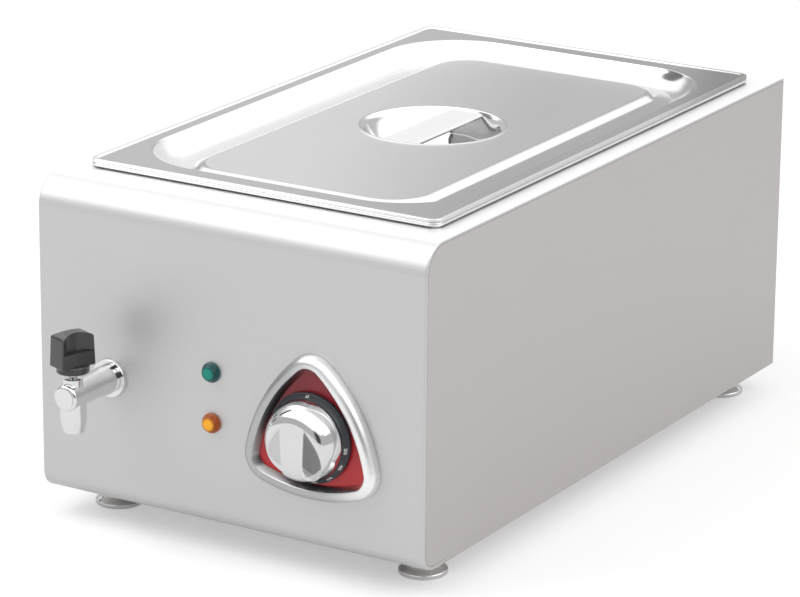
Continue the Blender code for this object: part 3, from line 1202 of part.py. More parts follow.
def make_supply_entry():
    """The cable gland in the back, its nut inside, and the terminal block on the base."""
    outside = CABINET_DEPTH - SHEET - FIT_GAP
    place = (GLAND_X, outside, GLAND_Z)
    dome = [
        (GLAND_DOME_RADIUS * r, FIT_GAP + GLAND_COLLAR_LENGTH + GLAND_DOME_LENGTH * h) for r,
        h in GLAND_DOME_SHARES
    ]
    top = FIT_GAP + GLAND_COLLAR_LENGTH + GLAND_DOME_LENGTH
    profile = [(GLAND_BORE, top)] + dome
    profile += [
        (GLAND_DOME_RADIUS, FIT_GAP + WELD_OVERLAP), (GLAND_THREAD_RADIUS, FIT_GAP + WELD_OVERLAP),
        (GLAND_THREAD_RADIUS, -GLAND_THREAD_LENGTH), (GLAND_BORE, -GLAND_THREAD_LENGTH),
    ]
    gland = turned(
        "cable_gland", profile, BLACK, place, (-RIGHT_ANGLE, 0, 0), steps=SMALL_STEPS + 4, ring=True
    )
    start = (GLAND_X, outside + FIT_GAP, GLAND_Z)
    boolean(gland, hexagon("gland_collar", GLAND_COLLAR_ACROSS, GLAND_COLLAR_LENGTH, start, None, (0, 1, 0),
                           GLAND_THREAD_RADIUS - WELD_OVERLAP), "UNION")
    inside = (GLAND_X, outside - SHEET - FIT_GAP - GLAND_NUT_HEIGHT, GLAND_Z)
    hexagon(
        "gland_nut", GLAND_NUT_ACROSS, GLAND_NUT_HEIGHT, inside, BLACK, (0, 1, 0),
        GLAND_THREAD_RADIUS + FIT_GAP
    )
    low = FOOT_HEIGHT + SHEET + FIT_GAP
    x, y = BLOCK_X, CABINET_DEPTH - BLOCK_INSET
    terminal = block(
        "terminal_block", (x - BLOCK_LENGTH / 2, y - BLOCK_WIDTH / 2, low),
        (x + BLOCK_LENGTH / 2, y + BLOCK_WIDTH / 2, low + BLOCK_HEIGHT), CERAMIC, BLOCK_EDGE,
    )
    for way in range(BLOCK_WAYS):
        centre = x + (way - (BLOCK_WAYS - 1) / 2) * BLOCK_LENGTH / BLOCK_WAYS
        z = low + BLOCK_HEIGHT / 2 - BLOCK_WALL / 2
        ends = (centre, y - BLOCK_WIDTH, z), (centre, y + BLOCK_WIDTH, z)
        boolean(terminal, rod(f"wire_hole_{way}", BLOCK_WIRE_HOLE, *ends, steps=SMALL_STEPS // 2))
        for side in (-1, 1):
            well_y = y + side * BLOCK_WIDTH / 4
            ends = (centre, well_y, z), (centre, well_y, low + BLOCK_HEIGHT + OVERRUN)
            boolean(
                terminal,
                rod(f"screw_well_{way}_{'front' if side < 0 else 'back'}", BLOCK_SCREW_WELL, *ends,
                                  steps=SMALL_STEPS // 2))


def make_leads():
    """The leads between terminal block, thermostat and element, and the earth lead to the base."""
    bend, lift = LEAD_BEND, LEAD_LIFT
    pitch = BLOCK_LENGTH / BLOCK_WAYS
    hole_z = WIRE_Z
    into = CABINET_DEPTH - BLOCK_INSET - BLOCK_WIDTH / 4
    front = into - BLOCK_WIDTH
    pin_x = ELEMENT_RUN_SPACING * (ELEMENT_RUNS - 1) / 2
    pin_y = TANK_FRONT_Y + ELEMENT_END_MARGIN - ELEMENT_ELBOW
    pin_z = ELEMENT_Z - ELEMENT_ELBOW - ELEMENT_LEG - ELEMENT_PIN_LENGTH - FIT_GAP
    blade_y = SHEET + FIT_GAP + THERMOSTAT_EAR + THERMOSTAT_DEPTH + BLADE_LENGTH + FIT_GAP
    rise_y = blade_y + bend
    upper, lower = DIAL_Z + THERMOSTAT_HEIGHT / 4, DIAL_Z - THERMOSTAT_HEIGHT / 4
    live_x, neutral_x, earth_x = BLOCK_X + pitch, BLOCK_X, BLOCK_X - pitch
    tube("lead_live", [
        (DIAL_X, blade_y, lower), (DIAL_X, rise_y - bend / 2, lower), (DIAL_X, rise_y, lower - bend),
        (DIAL_X, rise_y, hole_z + lift), (live_x, rise_y + lift, hole_z), (live_x, into, hole_z),
    ], LEAD_RADIUS, LEAD_BROWN, resolution=1)
    tube("lead_heater", [
        (DIAL_X, blade_y, upper), (DIAL_X, rise_y - bend / 2, upper), (DIAL_X + bend, rise_y, upper),
        (pin_x - bend, rise_y, upper), (pin_x, rise_y, upper - bend), (pin_x, rise_y, pin_z - lift),
        (pin_x, rise_y + bend, pin_z - lift - bend), (pin_x, pin_y - bend, pin_z - lift - bend),
        (pin_x, pin_y, pin_z - lift), (pin_x, pin_y, pin_z),
    ], LEAD_RADIUS, LEAD_BROWN, resolution=1)
    tube("lead_neutral", [
        (-pin_x, pin_y, pin_z), (-pin_x, pin_y, hole_z + lift), (-pin_x + bend, pin_y + lift, hole_z),
        (neutral_x - bend, front - lift, hole_z), (neutral_x, front, hole_z), (neutral_x, into, hole_z),
    ], LEAD_RADIUS, LEAD_BLUE, resolution=1)
    post_x, post_y = earth_post_place()
    tube("lead_earth", [
        (earth_x, into, hole_z), (earth_x, front, hole_z),
        (earth_x - bend, front - bend, hole_z - LEAD_RADIUS),
        (post_x + EARTH_POST_RADIUS + FIT_GAP, post_y, hole_z - LEAD_RADIUS),
    ], LEAD_RADIUS, LEAD_GREEN, resolution=1)


def earth_post_place():
    """Centre of the earth post welded on the base plate."""
    return BLOCK_X - BLOCK_LENGTH, CABINET_DEPTH - BLOCK_INSET - BLOCK_WIDTH * 2


def rim_loop(inset, corner, height):
    """A loop set in from the gastronorm rim."""
    return rounded_rectangle(RIM_WIDTH / 2 - inset, RIM_LENGTH / 2 - inset, corner, height)


def make_pan():
    """The food pan: rolled rim edge, flange, mouth bend, stacking shoulder, tapered walls, floor."""
    lap = RIM_LAP + FIT_GAP + PAN_CLEARANCE
    wall_top = PAN_RIM_Z - PAN_MOUTH_BEND
    loops = [
        rim_loop(0, RIM_CORNER, PAN_RIM_Z - PAN_RIM_HEIGHT), rim_loop(0, RIM_CORNER, PAN_RIM_Z - PAN_EDGE)
    ]
    loops += [rim_loop(PAN_EDGE, RIM_CORNER - PAN_EDGE, PAN_RIM_Z)]
    inset = lap - PAN_MOUTH_BEND
    mouth = arc(0, -PAN_MOUTH_BEND, PAN_MOUTH_BEND, RIGHT_ANGLE, 0, EDGE_STEPS)
    loops += [rim_loop(inset + out, PAN_CORNER_TOP - out, PAN_RIM_Z + drop) for out, drop in mouth]
    shoulder = wall_top - PAN_SHOULDER_DEPTH
    loops.append(rim_loop(lap, PAN_CORNER_TOP - PAN_MOUTH_BEND, shoulder))
    step = lap + PAN_SHOULDER_STEP
    loops.append(
        rim_loop(step, PAN_CORNER_TOP - PAN_MOUTH_BEND - PAN_SHOULDER_STEP, shoulder - PAN_SHOULDER_STEP)
    )
    floor = PAN_RIM_Z - PAN_DEPTH
    foot = step + PAN_TAPER
    bend = arc(PAN_FLOOR_BEND, PAN_FLOOR_BEND, PAN_FLOOR_BEND, math.pi, 3 * RIGHT_ANGLE, EDGE_STEPS + 1)
    for out, rise in bend:
        loops.append(rim_loop(foot + out, PAN_CORNER_FLOOR - out, floor + rise))
    bm = skin(loops, floor=True)
    thicken(add_object("gn_pan", mesh_of("gn_pan", bm), POLISHED, (0, WELL_CENTRE_Y, 0)), PAN_SHEET)


def make_lid():
    """The pressed lid: beaded edge, flange, rounded recess, raised middle and round cup."""
    loops = [rim_loop(0, RIM_CORNER, PAN_RIM_Z + FIT_GAP)]
    bead = LID_BEAD_EDGE
    loops += [rim_loop(0, RIM_CORNER, LID_TOP_Z - bead), rim_loop(bead, RIM_CORNER - bead, LID_TOP_Z)]
    width = LID_BEAD_WIDTH
    loops += [rim_loop(width - bead / 2, RIM_CORNER - width / 2, LID_TOP_Z)]
    loops += [rim_loop(width + bead / 2, RIM_CORNER - width / 2, LID_FLANGE_Z)]
    for reach, drop in LID_WALL_SHARES:
        out = LID_RECESS_SLOPE * reach
        height = LID_FLANGE_Z - LID_RECESS_DEPTH * drop
        loops.append(rim_loop(LID_FLANGE + out, LID_RECESS_CORNER - out, height))
    for reach, rise in PLATEAU_WALL_SHARES:
        out = PLATEAU_SLOPE * reach
        height = LID_CHANNEL_Z + PLATEAU_RISE * rise
        loops.append(rim_loop(PLATEAU_MARGIN + out, PLATEAU_CORNER + PLATEAU_SLOPE - out, height))
    lip = CUP_LIP_WIDTH
    loops += [
        circle_loop(CUP_RADIUS + lip, PLATEAU_Z),
        circle_loop(CUP_RADIUS + lip * 2 / 3, PLATEAU_Z + CUP_LIP_HEIGHT)
    ]
    loops += [
        circle_loop(CUP_RADIUS + lip / 4, PLATEAU_Z + CUP_LIP_HEIGHT), circle_loop(CUP_RADIUS, PLATEAU_Z)
    ]
    for inward, drop in CUP_WALL_SHARES:
        loops.append(circle_loop(cup_wall(inward), PLATEAU_Z - CUP_DEPTH * drop))
    loops.append(circle_loop(CUP_FLOOR_RADIUS * CUP_FLOOR_SHARE, PLATEAU_Z - CUP_DEPTH))
    bm = skin(loops, floor=True)
    thicken(add_object("lid", mesh_of("lid", bm), SATIN, (0, WELL_CENTRE_Y, 0)), LID_SHEET)
    make_strap()


def cup_wall(inward):
    """Radius of the cup's wall at a share of the way in from its mouth to its floor."""
    return CUP_RADIUS - (CUP_RADIUS - CUP_FLOOR_RADIUS) * inward


def make_strap():
    """The strap across the cup, its long edges turned down and its ends fitted to the cup's wall."""
    half, top = STRAP_WIDTH / 2, PLATEAU_Z - STRAP_DROP
    corner = arc(half - STRAP_BEND, top - STRAP_BEND, STRAP_BEND, 0, RIGHT_ANGLE, EDGE_STEPS)
    right = [(half, top - STRAP_HEM)] + corner
    section = right + [(-x, z) for x, z in reversed(right)]
    chains = [[Vector((x, y, z)) for x, z in section] for y in (-CUP_RADIUS, CUP_RADIUS)]
    bm = skin(chains, round_loops=False)
    bmesh.ops.recalc_face_normals(bm, faces=bm.faces)
    top_face = max(bm.faces, key=lambda face: face.calc_center_median().z)
    if top_face.normal.z < 0:
        bmesh.ops.reverse_faces(bm, faces=bm.faces)
    strap = thicken(
        add_object("lid_strap", mesh_of("lid_strap", bm), POLISHED, (0, WELL_CENTRE_Y, 0)),
        STRAP_THICKNESS
    )
    (near, near_drop), (far, far_drop) = CUP_WALL_SHARES[0], CUP_WALL_SHARES[1]
    slope = (cup_wall(near) - cup_wall(far)) / (CUP_DEPTH * (far_drop - near_drop))
    level = cup_wall(near) + slope * CUP_DEPTH * near_drop - STRAP_END_GAP
    ends = rod(
        "strap_ends", level - slope * CUP_DEPTH / 2, (0, 0, PLATEAU_Z - CUP_DEPTH / 2),
        (0, 0, PLATEAU_Z + OVERRUN), steps=2 * ROUND_STEPS, radius_end=level + slope * OVERRUN,
    )
    ends.location.y = WELL_CENTRE_Y
    boolean(strap, ends, "INTERSECT")


def slab(name, points, direction, finish=None, edge=0):
    """A flat outline pushed along a direction, its edges rounded when an edge radius is given."""
    bm = bmesh.new()
    face = bm.faces.new([bm.verts.new(point) for point in points])
    pushed = bmesh.ops.extrude_face_region(bm, geom=[face])["geom"]
    moved = [item for item in pushed if isinstance(item, bmesh.types.BMVert)]
    bmesh.ops.translate(bm, vec=direction, verts=moved)
    bmesh.ops.recalc_face_normals(bm, faces=bm.faces)
    if edge:
        sharp = [item for item in bm.edges if item.calc_face_angle(0) > SHARP_ANGLE]
        bmesh.ops.bevel(bm, geom=sharp, offset=edge, segments=2, affect="EDGES", profile=0.5, material=-1)
    return add_object(name, mesh_of(name, bm), finish)


def centre_on_box():
    """Move the root so that the origin lies on the floor under the middle of all the pieces."""
    bpy.context.view_layer.update()
    graph = bpy.context.evaluated_depsgraph_get()
    depths = []
    for obj in PARTS.objects:
        if obj.type == "MESH":
            solid = obj.evaluated_get(graph)
            depths += [(solid.matrix_world @ Vector(corner)).y for corner in solid.bound_box]
    ROOT.location.y = -(min(depths) + max(depths)) / 2
    bpy.context.view_layer.update()


make_front_and_deck()
make_side_panel("side_panel_left", -1)
make_side_panel("side_panel_right", 1)
make_back_panel()
make_base_plate()
make_feet()
make_base_screws()
make_water_tank()
make_drain_pipe()
make_tap()
make_heating()
make_control_panel()
make_lamps()
make_supply_entry()
make_leads()
make_pan()
make_lid()
centre_on_box()
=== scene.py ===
"""Looks of a counter-top bain marie: fine pieces, finishes, floor, light and camera.

Pieces are drawn from the middle of the cabinet's front face on the floor, X to the right,
Y towards the back and Z up, in metres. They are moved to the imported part's frame when they are added.
"""

import logging
import math
from dataclasses import dataclass, field
from enum import Enum
from typing import Any, Callable, Iterable, Optional, Sequence, Union

import bmesh
import bpy
from mathutils import Matrix, Vector


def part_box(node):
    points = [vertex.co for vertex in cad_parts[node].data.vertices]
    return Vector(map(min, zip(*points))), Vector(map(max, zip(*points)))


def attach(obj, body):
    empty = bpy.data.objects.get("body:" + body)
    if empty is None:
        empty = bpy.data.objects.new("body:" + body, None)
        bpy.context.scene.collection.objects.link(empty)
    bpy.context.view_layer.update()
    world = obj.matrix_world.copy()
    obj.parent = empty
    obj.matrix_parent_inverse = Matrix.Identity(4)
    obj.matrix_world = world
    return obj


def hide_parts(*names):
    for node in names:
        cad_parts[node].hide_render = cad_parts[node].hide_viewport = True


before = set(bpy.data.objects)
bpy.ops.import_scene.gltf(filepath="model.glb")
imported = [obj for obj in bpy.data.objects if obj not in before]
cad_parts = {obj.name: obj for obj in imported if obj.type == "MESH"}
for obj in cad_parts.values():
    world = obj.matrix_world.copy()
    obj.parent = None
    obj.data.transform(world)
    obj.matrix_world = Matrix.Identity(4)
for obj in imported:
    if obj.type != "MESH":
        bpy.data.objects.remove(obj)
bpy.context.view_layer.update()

logging.basicConfig(level=logging.INFO, format="%(name)s: %(message)s")
LOG = logging.getLogger("bain_marie")

Point = tuple[float, float, float]
Pair = tuple[float, float]
Colour = tuple[float, float, float]
Node = bpy.types.Node
Socket = bpy.types.NodeSocket
Shape = bmesh.types.BMesh
Edges = list[bmesh.types.BMEdge]

MM = 0.001
RIGHT_ANGLE = math.pi / 2
FULL_TURN = 2 * math.pi
FIT = 0.3 * MM
OVER = 6 * MM
NEAR = 0.01 * MM
MERGE = 0.002 * MM
RELIEF = 0.1 * MM
FRONT_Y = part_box("front_and_deck")[0].y
SHARP = math.radians(34)


# ---- shader graph


class Graph:
    """The node tree of one finish, with one way to add a node."""

    def __init__(self, tree: bpy.types.NodeTree) -> None:
        """Keep the tree that the nodes go in."""
        self.tree = tree

    def node(
        self, kind: str, settings: Optional[dict[str, Any]] = None, feeds: Optional[dict[Any, Any]] = None
    ) -> Node:
        """Add a node.

        Args:
            kind: the node's type.
            settings: attributes that are set first; "stops" fills a colour ramp.
            feeds: values or links of its sockets, by name or number.

        Returns:
            The new node.
        """
        made = self.tree.nodes.new(kind)
        for name, value in (settings or {}).items():
            if name == "stops":
                self._stops(made.color_ramp, value)
            else:
                setattr(made, name, value)
        for name, value in (feeds or {}).items():
            self.feed(made.inputs[name], value)
        return made

    @staticmethod
    def _stops(ramp: bpy.types.ColorRamp, stops: Sequence[tuple[float, Colour]]) -> None:
        """Fill a ramp with (place, colour) stops.

        Args:
            ramp: the ramp.
            stops: its pairs of place and colour.
        """
        while len(ramp.elements) < len(stops):
            ramp.elements.new(0.5)
        for element, (place, colour) in zip(ramp.elements, stops):
            element.position = place
            element.color = (*colour, 1.0)

    def feed(self, socket: Socket, value: Any) -> None:
        """Link a value to a socket, or set the socket's own number.

        Args:
            socket: the socket that is fed.
            value: a value, a socket, or a plain number or colour.
        """
        if isinstance(value, Value):
            self.tree.links.new(value.socket, socket)
        elif isinstance(value, Socket):
            self.tree.links.new(value, socket)
        else:
            socket.default_value = value

    def value(self, node: Node, output: Union[str, int] = 0) -> "Value":
        """One output of a node, ready for arithmetic."""
        return Value(self, node.outputs[output])

    def place(self, scale: Point = (1.0, 1.0, 1.0)) -> Socket:
        """Object coordinates, stretched along each axis."""
        where = self.node("ShaderNodeTexCoord")
        mapped = self.node("ShaderNodeMapping", None, {"Vector": where.outputs["Object"], "Scale": scale})
        return mapped.outputs["Vector"]

    def position(self) -> tuple["Value", ...]:
        """The X, Y and Z of the Object coordinates."""
        where = self.node("ShaderNodeSeparateXYZ", None, {"Vector": self.place()})
        return tuple(self.value(where, axis) for axis in "XYZ")

    def noise(self, vector: Any, scale: float, detail: float = 3.0, roughness: float = 0.5) -> "Value":
        """A cloudy pattern between 0 and 1."""
        feeds = {"Vector": vector, "Scale": scale, "Detail": detail, "Roughness": roughness}
        return self.value(self.node("ShaderNodeTexNoise", None, feeds), 0)

    def relief(self, shader: Node, strength: float, height: "Value", distance: float = RELIEF) -> None:
        """Give a shader a fine relief.

        Args:
            shader: the shader that gets it.
            strength: how strongly it shows.
            height: the pattern that it follows.
            distance: the height of the pattern's full swing.
        """
        feeds = {"Strength": strength, "Distance": distance, "Height": height}
        bump = self.node("ShaderNodeBump", None, feeds)
        self.feed(shader.inputs["Normal"], bump.outputs["Normal"])

    def blend(self, share: "Value", first: Any, second: Any) -> Any:
        """The colour that lies between two colours, by a share.

        Args:
            share: 0 gives the first colour and 1 the second.
            first: a colour or a colour socket.
            second: a colour or a colour socket.

        Returns:
            The socket of the mixed colour.
        """
        made = self.node("ShaderNodeMix", {"data_type": "RGBA"})
        self.feed(made.inputs[0], share)
        self.feed(made.inputs[6], first if not isinstance(first, tuple) else (*first, 1.0))
        self.feed(made.inputs[7], second if not isinstance(second, tuple) else (*second, 1.0))
        return made.outputs[2]


@dataclass
class Value:
    """A number that varies over a surface; Python arithmetic adds its Math nodes.

    Attributes:
        graph: the node tree.
        socket: the socket that gives the number.
    """

    graph: Graph
    socket: Socket

    def _math(self, operation: str, *others: Any, swap: bool = False) -> "Value":
        """Add one Math node with this value first, or second when swapped.

        Args:
            operation: the node's operation.
            others: its further terms.
            swap: whether the first two terms change places.

        Returns:
            The result.
        """
        made = self.graph.node("ShaderNodeMath", {"operation": operation})
        terms = [self, *others]
        if swap:
            terms[0], terms[1] = terms[1], terms[0]
        for slot, term in zip(made.inputs, terms):
            self.graph.feed(slot, term)
        return Value(self.graph, made.outputs[0])

    def __add__(self, other: Any) -> "Value":
        """This plus other."""
        return self._math("ADD", other)

    __radd__ = __add__

    def __mul__(self, other: Any) -> "Value":
        """This times other."""
        return self._math("MULTIPLY", other)

    __rmul__ = __mul__

    def __sub__(self, other: Any) -> "Value":
        """This minus other."""
        return self._math("SUBTRACT", other)

    def __rsub__(self, other: Any) -> "Value":
        """Other minus this."""
        return self._math("SUBTRACT", other, swap=True)

    def __truediv__(self, other: Any) -> "Value":
        """This divided by other."""
        return self._math("DIVIDE", other)

    def __pow__(self, other: Any) -> "Value":
        """This to a power."""
        return self._math("POWER", other)

    def ramp(self, low: float, high: float) -> "Value":
        """0 below low, 1 above high and smooth between.

        Args:
            low: the value that becomes 0.
            high: the value that becomes 1.

        Returns:
            The share between 0 and 1.
        """
        made = self.graph.node(
            "ShaderNodeMapRange", {"interpolation_type": "SMOOTHSTEP", "clamp": True},
            {"Value": self, "From Min": low, "From Max": high},
        )
        return Value(self.graph, made.outputs[0])

    def larger(self, other: Any) -> "Value":
        """The larger of this and other."""
        return self._math("MAXIMUM", other)

    def swing(self, amount: float) -> "Value":
        """This pattern's rise and fall about its middle, as large as an amount."""
        return (self - 0.5) * amount

    def size(self) -> "Value":
        """This without its sign."""
        return self._math("ABSOLUTE")


# ---- finishes


class Grain(Enum):
    """The way that the brush went over a sheet."""

    ACROSS = (5.0, 1300.0, 1300.0)
    ALONG = (1300.0, 5.0, 1300.0)
    NONE = (160.0, 160.0, 160.0)


class Finish:
    """A surface finish that makes one material, once.

    Attributes:
        name: the material's name.
    """

    name: str
    _made: dict[str, bpy.types.Material] = {}

    def material(self) -> bpy.types.Material:
        """The finish's material, made at first use.

        Returns:
            The material.
        """
        if self.name not in Finish._made:
            made = bpy.data.materials.new(self.name)
            made.use_nodes = True
            graph = Graph(made.node_tree)
            self.dress(graph, made.node_tree.nodes["Principled BSDF"])
            Finish._made[self.name] = made
        return Finish._made[self.name]

    def dress(self, graph: Graph, shader: Node) -> None:
        """Wire the finish's nodes to its shader."""
        raise NotImplementedError


@dataclass(frozen=True)
class Steel(Finish):
    """Stainless steel, brushed or polished, with faint wear.

    Attributes:
        name: the material's name.
        colour: its middle colour.
        roughness: its middle roughness.
        grain: the way of the brush.
        streak: how much the brush lines change the roughness.
        relief: how strongly the brush lines stand out.
        cloud: how much the clouds change the roughness.
        tint: how much the brush lines change the colour.
        metal: how metallic it is.
        cloud_scale: how many clouds lie along a metre.
        smoothest: the least roughness.
    """

    name: str
    colour: Colour
    roughness: float
    grain: Grain
    streak: float = 0.03
    relief: float = 0.04
    cloud: float = 0.02
    tint: float = 0.06
    metal: float = 1.0
    cloud_scale: float = 9.0
    smoothest: float = 0.02

    def dress(self, graph: Graph, shader: Node) -> None:
        """Brush lines and soft clouds in colour and roughness, and a fine relief.

        Args:
            graph: the finish's node tree.
            shader: its shader.
        """
        lines, clouds = self.patterns(graph)
        graph.feed(shader.inputs["Base Color"], self.colours(graph, lines))
        shader.inputs["Metallic"].default_value = self.metal
        rough = lines.swing(2.0 * self.streak) + clouds.swing(2.0 * self.cloud) + self.roughness
        graph.feed(shader.inputs["Roughness"], rough.larger(self.smoothest))
        graph.relief(shader, self.relief, lines)

    def patterns(self, graph: Graph) -> tuple[Value, Value]:
        """The brush lines and the soft clouds."""
        lines = graph.noise(graph.place(self.grain.value), 1.0, 3.0, 0.6)
        return lines, graph.noise(graph.place(), self.cloud_scale, 2.0)

    def colours(self, graph: Graph, lines: Value) -> Any:
        """The colour's socket, streaked by the brush lines."""
        return self.tinted(graph, lines, self.colour)

    def tinted(self, graph: Graph, lines: Value, colour: Colour) -> Any:
        """One colour, slightly darker and lighter by the brush lines.

        Args:
            graph: the finish's node tree.
            lines: the brush lines.
            colour: the middle colour.

        Returns:
            The colour's socket.
        """
        dark = tuple(channel * (1.0 - self.tint) for channel in colour)
        light = tuple(min(1.0, channel * (1.0 + self.tint)) for channel in colour)
        return graph.blend(lines, dark, light)


@dataclass(frozen=True)
class PressedSteel(Steel):
    """The lid's steel: polished outside the raised middle and satin on it, its colours painted reflections
    and shade.

    Attributes:
        centre: the lid's centre.
        core: half of the width and length inside the arcs of the recess's corners.
        bend: the radius of the recess's corners.
        plateau: half of the width and length inside the arcs of the raised middle's corners.
        round: the radius of the raised middle's corners.
        cup: the radius of the cup with its lip.
        rim: half of the width and length inside the edge bead.
        polish: the roughness outside the raised middle.
        flange: the colours of the flange's left front and of its right, painted reflections.
        middle: the colours of the raised middle's left front and of its right, painted reflections.
        corner: the colour of the flange's far right corner, painted shade.
        painted_cup_reflection: the colour in the cup, a painted reflection.
        pale: the colour of the recess's left wall, a painted highlight.
        wall_painted_highlight_metal_drop: how much less metallic that wall is, so that its painted highlight
            shows.
        lean: how much the painted reflections lean from left and right towards front and back.
        flange_painted_reflection_span: where the flange's two painted reflection colours change.
        corner_painted_shade_span: where the corner's painted shade begins.
        middle_painted_reflection_span: where the raised middle's two painted reflection colours change.
        wall_painted_highlight_span: where the left wall's painted highlight ends.
        painted_reflection_drift: how far the clouds shift the middle's painted reflections.
        soft: half of the width over which two zones change.
        lip: the width over which the cup's painted reflection ends.
    """

    centre: Pair = (0.0, 0.0)
    rim: Pair = (158.5 * MM, 261 * MM)
    core: Pair = (78 * MM, 175 * MM)
    bend: float = 70 * MM
    plateau: Pair = (71 * MM, 180 * MM)
    round: float = 30 * MM
    cup: float = 62.2 * MM
    polish: float = 0.12
    # Painted reflections and shade: these colours stand in for what the lid reflects.
    flange: tuple[Colour, Colour] = ((0.92, 0.915, 0.915), (0.66, 0.655, 0.655))
    middle: tuple[Colour, Colour] = ((0.80, 0.80, 0.80), (0.57, 0.57, 0.57))
    corner: Colour = (0.38, 0.375, 0.37)
    painted_cup_reflection: Colour = (0.90, 0.90, 0.905)
    pale: Colour = (0.96, 0.96, 0.96)
    wall_painted_highlight_metal_drop: float = 0.8
    lean: float = 0.4
    flange_painted_reflection_span: Pair = (-100 * MM, 120 * MM)
    corner_painted_shade_span: Pair = (190 * MM, 250 * MM)
    middle_painted_reflection_span: Pair = (-100 * MM, 110 * MM)
    wall_painted_highlight_span: Pair = (-105 * MM, -95 * MM)
    painted_reflection_drift: float = 20 * MM
    soft: float = 1 * MM
    lip: float = 3 * MM

    def dress(self, graph: Graph, shader: Node) -> None:
        """Blend the painted reflection and shade zones by their distances from the cup and from the corners'
        arcs.

        Args:
            graph: the finish's node tree.
            shader: its shader.
        """
        lines, clouds = self.patterns(graph)
        x, y, _ = graph.position()
        across, along = x - self.centre[0], y - self.centre[1]
        inner = (across * across + along * along) ** 0.5
        flange, middle = self.reach(across, along, self.core), self.reach(across, along, self.plateau)
        satin = 1.0 - middle.ramp(self.round - self.soft, self.round + self.soft)
        satin = satin * inner.ramp(self.cup - self.soft, self.cup)
        rim = (across.size() - self.rim[0]).larger(along.size() - self.rim[1]).ramp(-self.soft, 0.0)
        # Painted reflections: lighter to the left front, darker to the right, darkest at the far right
        # corner.
        painted_reflection_slant = across + along * self.lean
        outside = graph.blend(painted_reflection_slant.ramp(*self.flange_painted_reflection_span), *self.flange)
        outside = graph.blend(painted_reflection_slant.ramp(*self.corner_painted_shade_span), outside, self.corner)
        raised = graph.blend((painted_reflection_slant + clouds * self.painted_reflection_drift).ramp(*self.middle_painted_reflection_span), *self.middle)
        colour = graph.blend(satin, self.colour, raised)
        colour = graph.blend(flange.ramp(self.bend - self.soft, self.bend + self.soft), colour, outside)
        # Painted reflection: the cup lighter than the rest of the sheet.
        colour = graph.blend(inner.ramp(self.cup - self.lip, self.cup), self.painted_cup_reflection, colour)
        inside = 1.0 - flange.ramp(self.bend - 2 * self.soft, self.bend)
        # Painted highlight: the recess's left wall paler and less metallic; the share named shade is this
        # highlight.
        shade = (1.0 - across.ramp(*self.wall_painted_highlight_span)) * inside * (1.0 - satin)
        graph.feed(shader.inputs["Base Color"], graph.blend(shade, colour, self.pale))
        graph.feed(shader.inputs["Metallic"], 1.0 - shade * self.wall_painted_highlight_metal_drop)
        rough = lines.swing(self.streak) + clouds * self.cloud + self.polish
        graph.feed(shader.inputs["Roughness"], rough + satin.larger(rim) * (self.roughness - self.polish))
        graph.relief(shader, self.relief, lines)

    @staticmethod
    def reach(across: Value, along: Value, core: Pair) -> Value:
        """The distance from a rectangle's middle part, 0 inside it."""
        side, end = (across.size() - core[0]).larger(0.0), (along.size() - core[1]).larger(0.0)
        return (side * side + end * end) ** 0.5


@dataclass(frozen=True)
class GradedSteel(Steel):
    """Steel whose colour changes gently along a direction, from painted shade to a painted highlight.

    Attributes:
        axis: the direction, as weights of X, Y and Z.
        start: where along it the first colour ends.
        end: where along it the second colour begins.
        far: the second colour, the painted highlight.
    """

    axis: Point = (1.0, 0.0, 0.0)
    start: float = 0.0
    end: float = 1.0
    far: Colour = (0.9, 0.9, 0.9)

    def colours(self, graph: Graph, lines: Value) -> Any:
        """The two colours, each streaked by the brush lines.

        Args:
            graph: the finish's node tree.
            lines: the brush lines.

        Returns:
            The colour's socket.
        """
        # Painted light and shade: darker at the start of the direction, lighter at its end.
        reach = sum(part * weight for part, weight in zip(graph.position(), self.axis))
        near, far = (self.tinted(graph, lines, colour) for colour in (self.colour, self.far))
        return graph.blend(reach.ramp(self.start, self.end), near, far)


@dataclass(frozen=True)
class LevelSteel(Steel):
    """Steel with painted shade below a level, outside of a rectangle.

    Attributes:
        level: the height below which the painted shade lies.
        shade: the colour below it, the painted shade.
        blur: half of the height over which the colours change.
        core: half of the width and length of the rectangle that keeps the upper colour.
        centre_y: where the rectangle's middle lies.
    """

    level: float = 0.0
    # The default shade is the strap hems' painted shade.
    shade: Colour = (0.10, 0.10, 0.10)
    blur: float = 0.4 * MM
    core: Pair = (-1.0, -1.0)
    centre_y: float = 0.0

    def colours(self, graph: Graph, lines: Value) -> Any:
        """The painted shade and the colour above it, each streaked by the brush lines.

        Args:
            graph: the finish's node tree.
            lines: the brush lines.

        Returns:
            The colour's socket.
        """
        x, y, z = graph.position()
        # Painted shade below the level and outside the rectangle.
        rise = z.ramp(self.level - self.blur, self.level + self.blur)
        side, end = x.size() - self.core[0], (y - self.centre_y).size() - self.core[1]
        inside = 1.0 - side.larger(end).ramp(-self.blur, self.blur)
        low, high = (self.tinted(graph, lines, colour) for colour in (self.shade, self.colour))
        return graph.blend(rise.larger(inside), low, high)


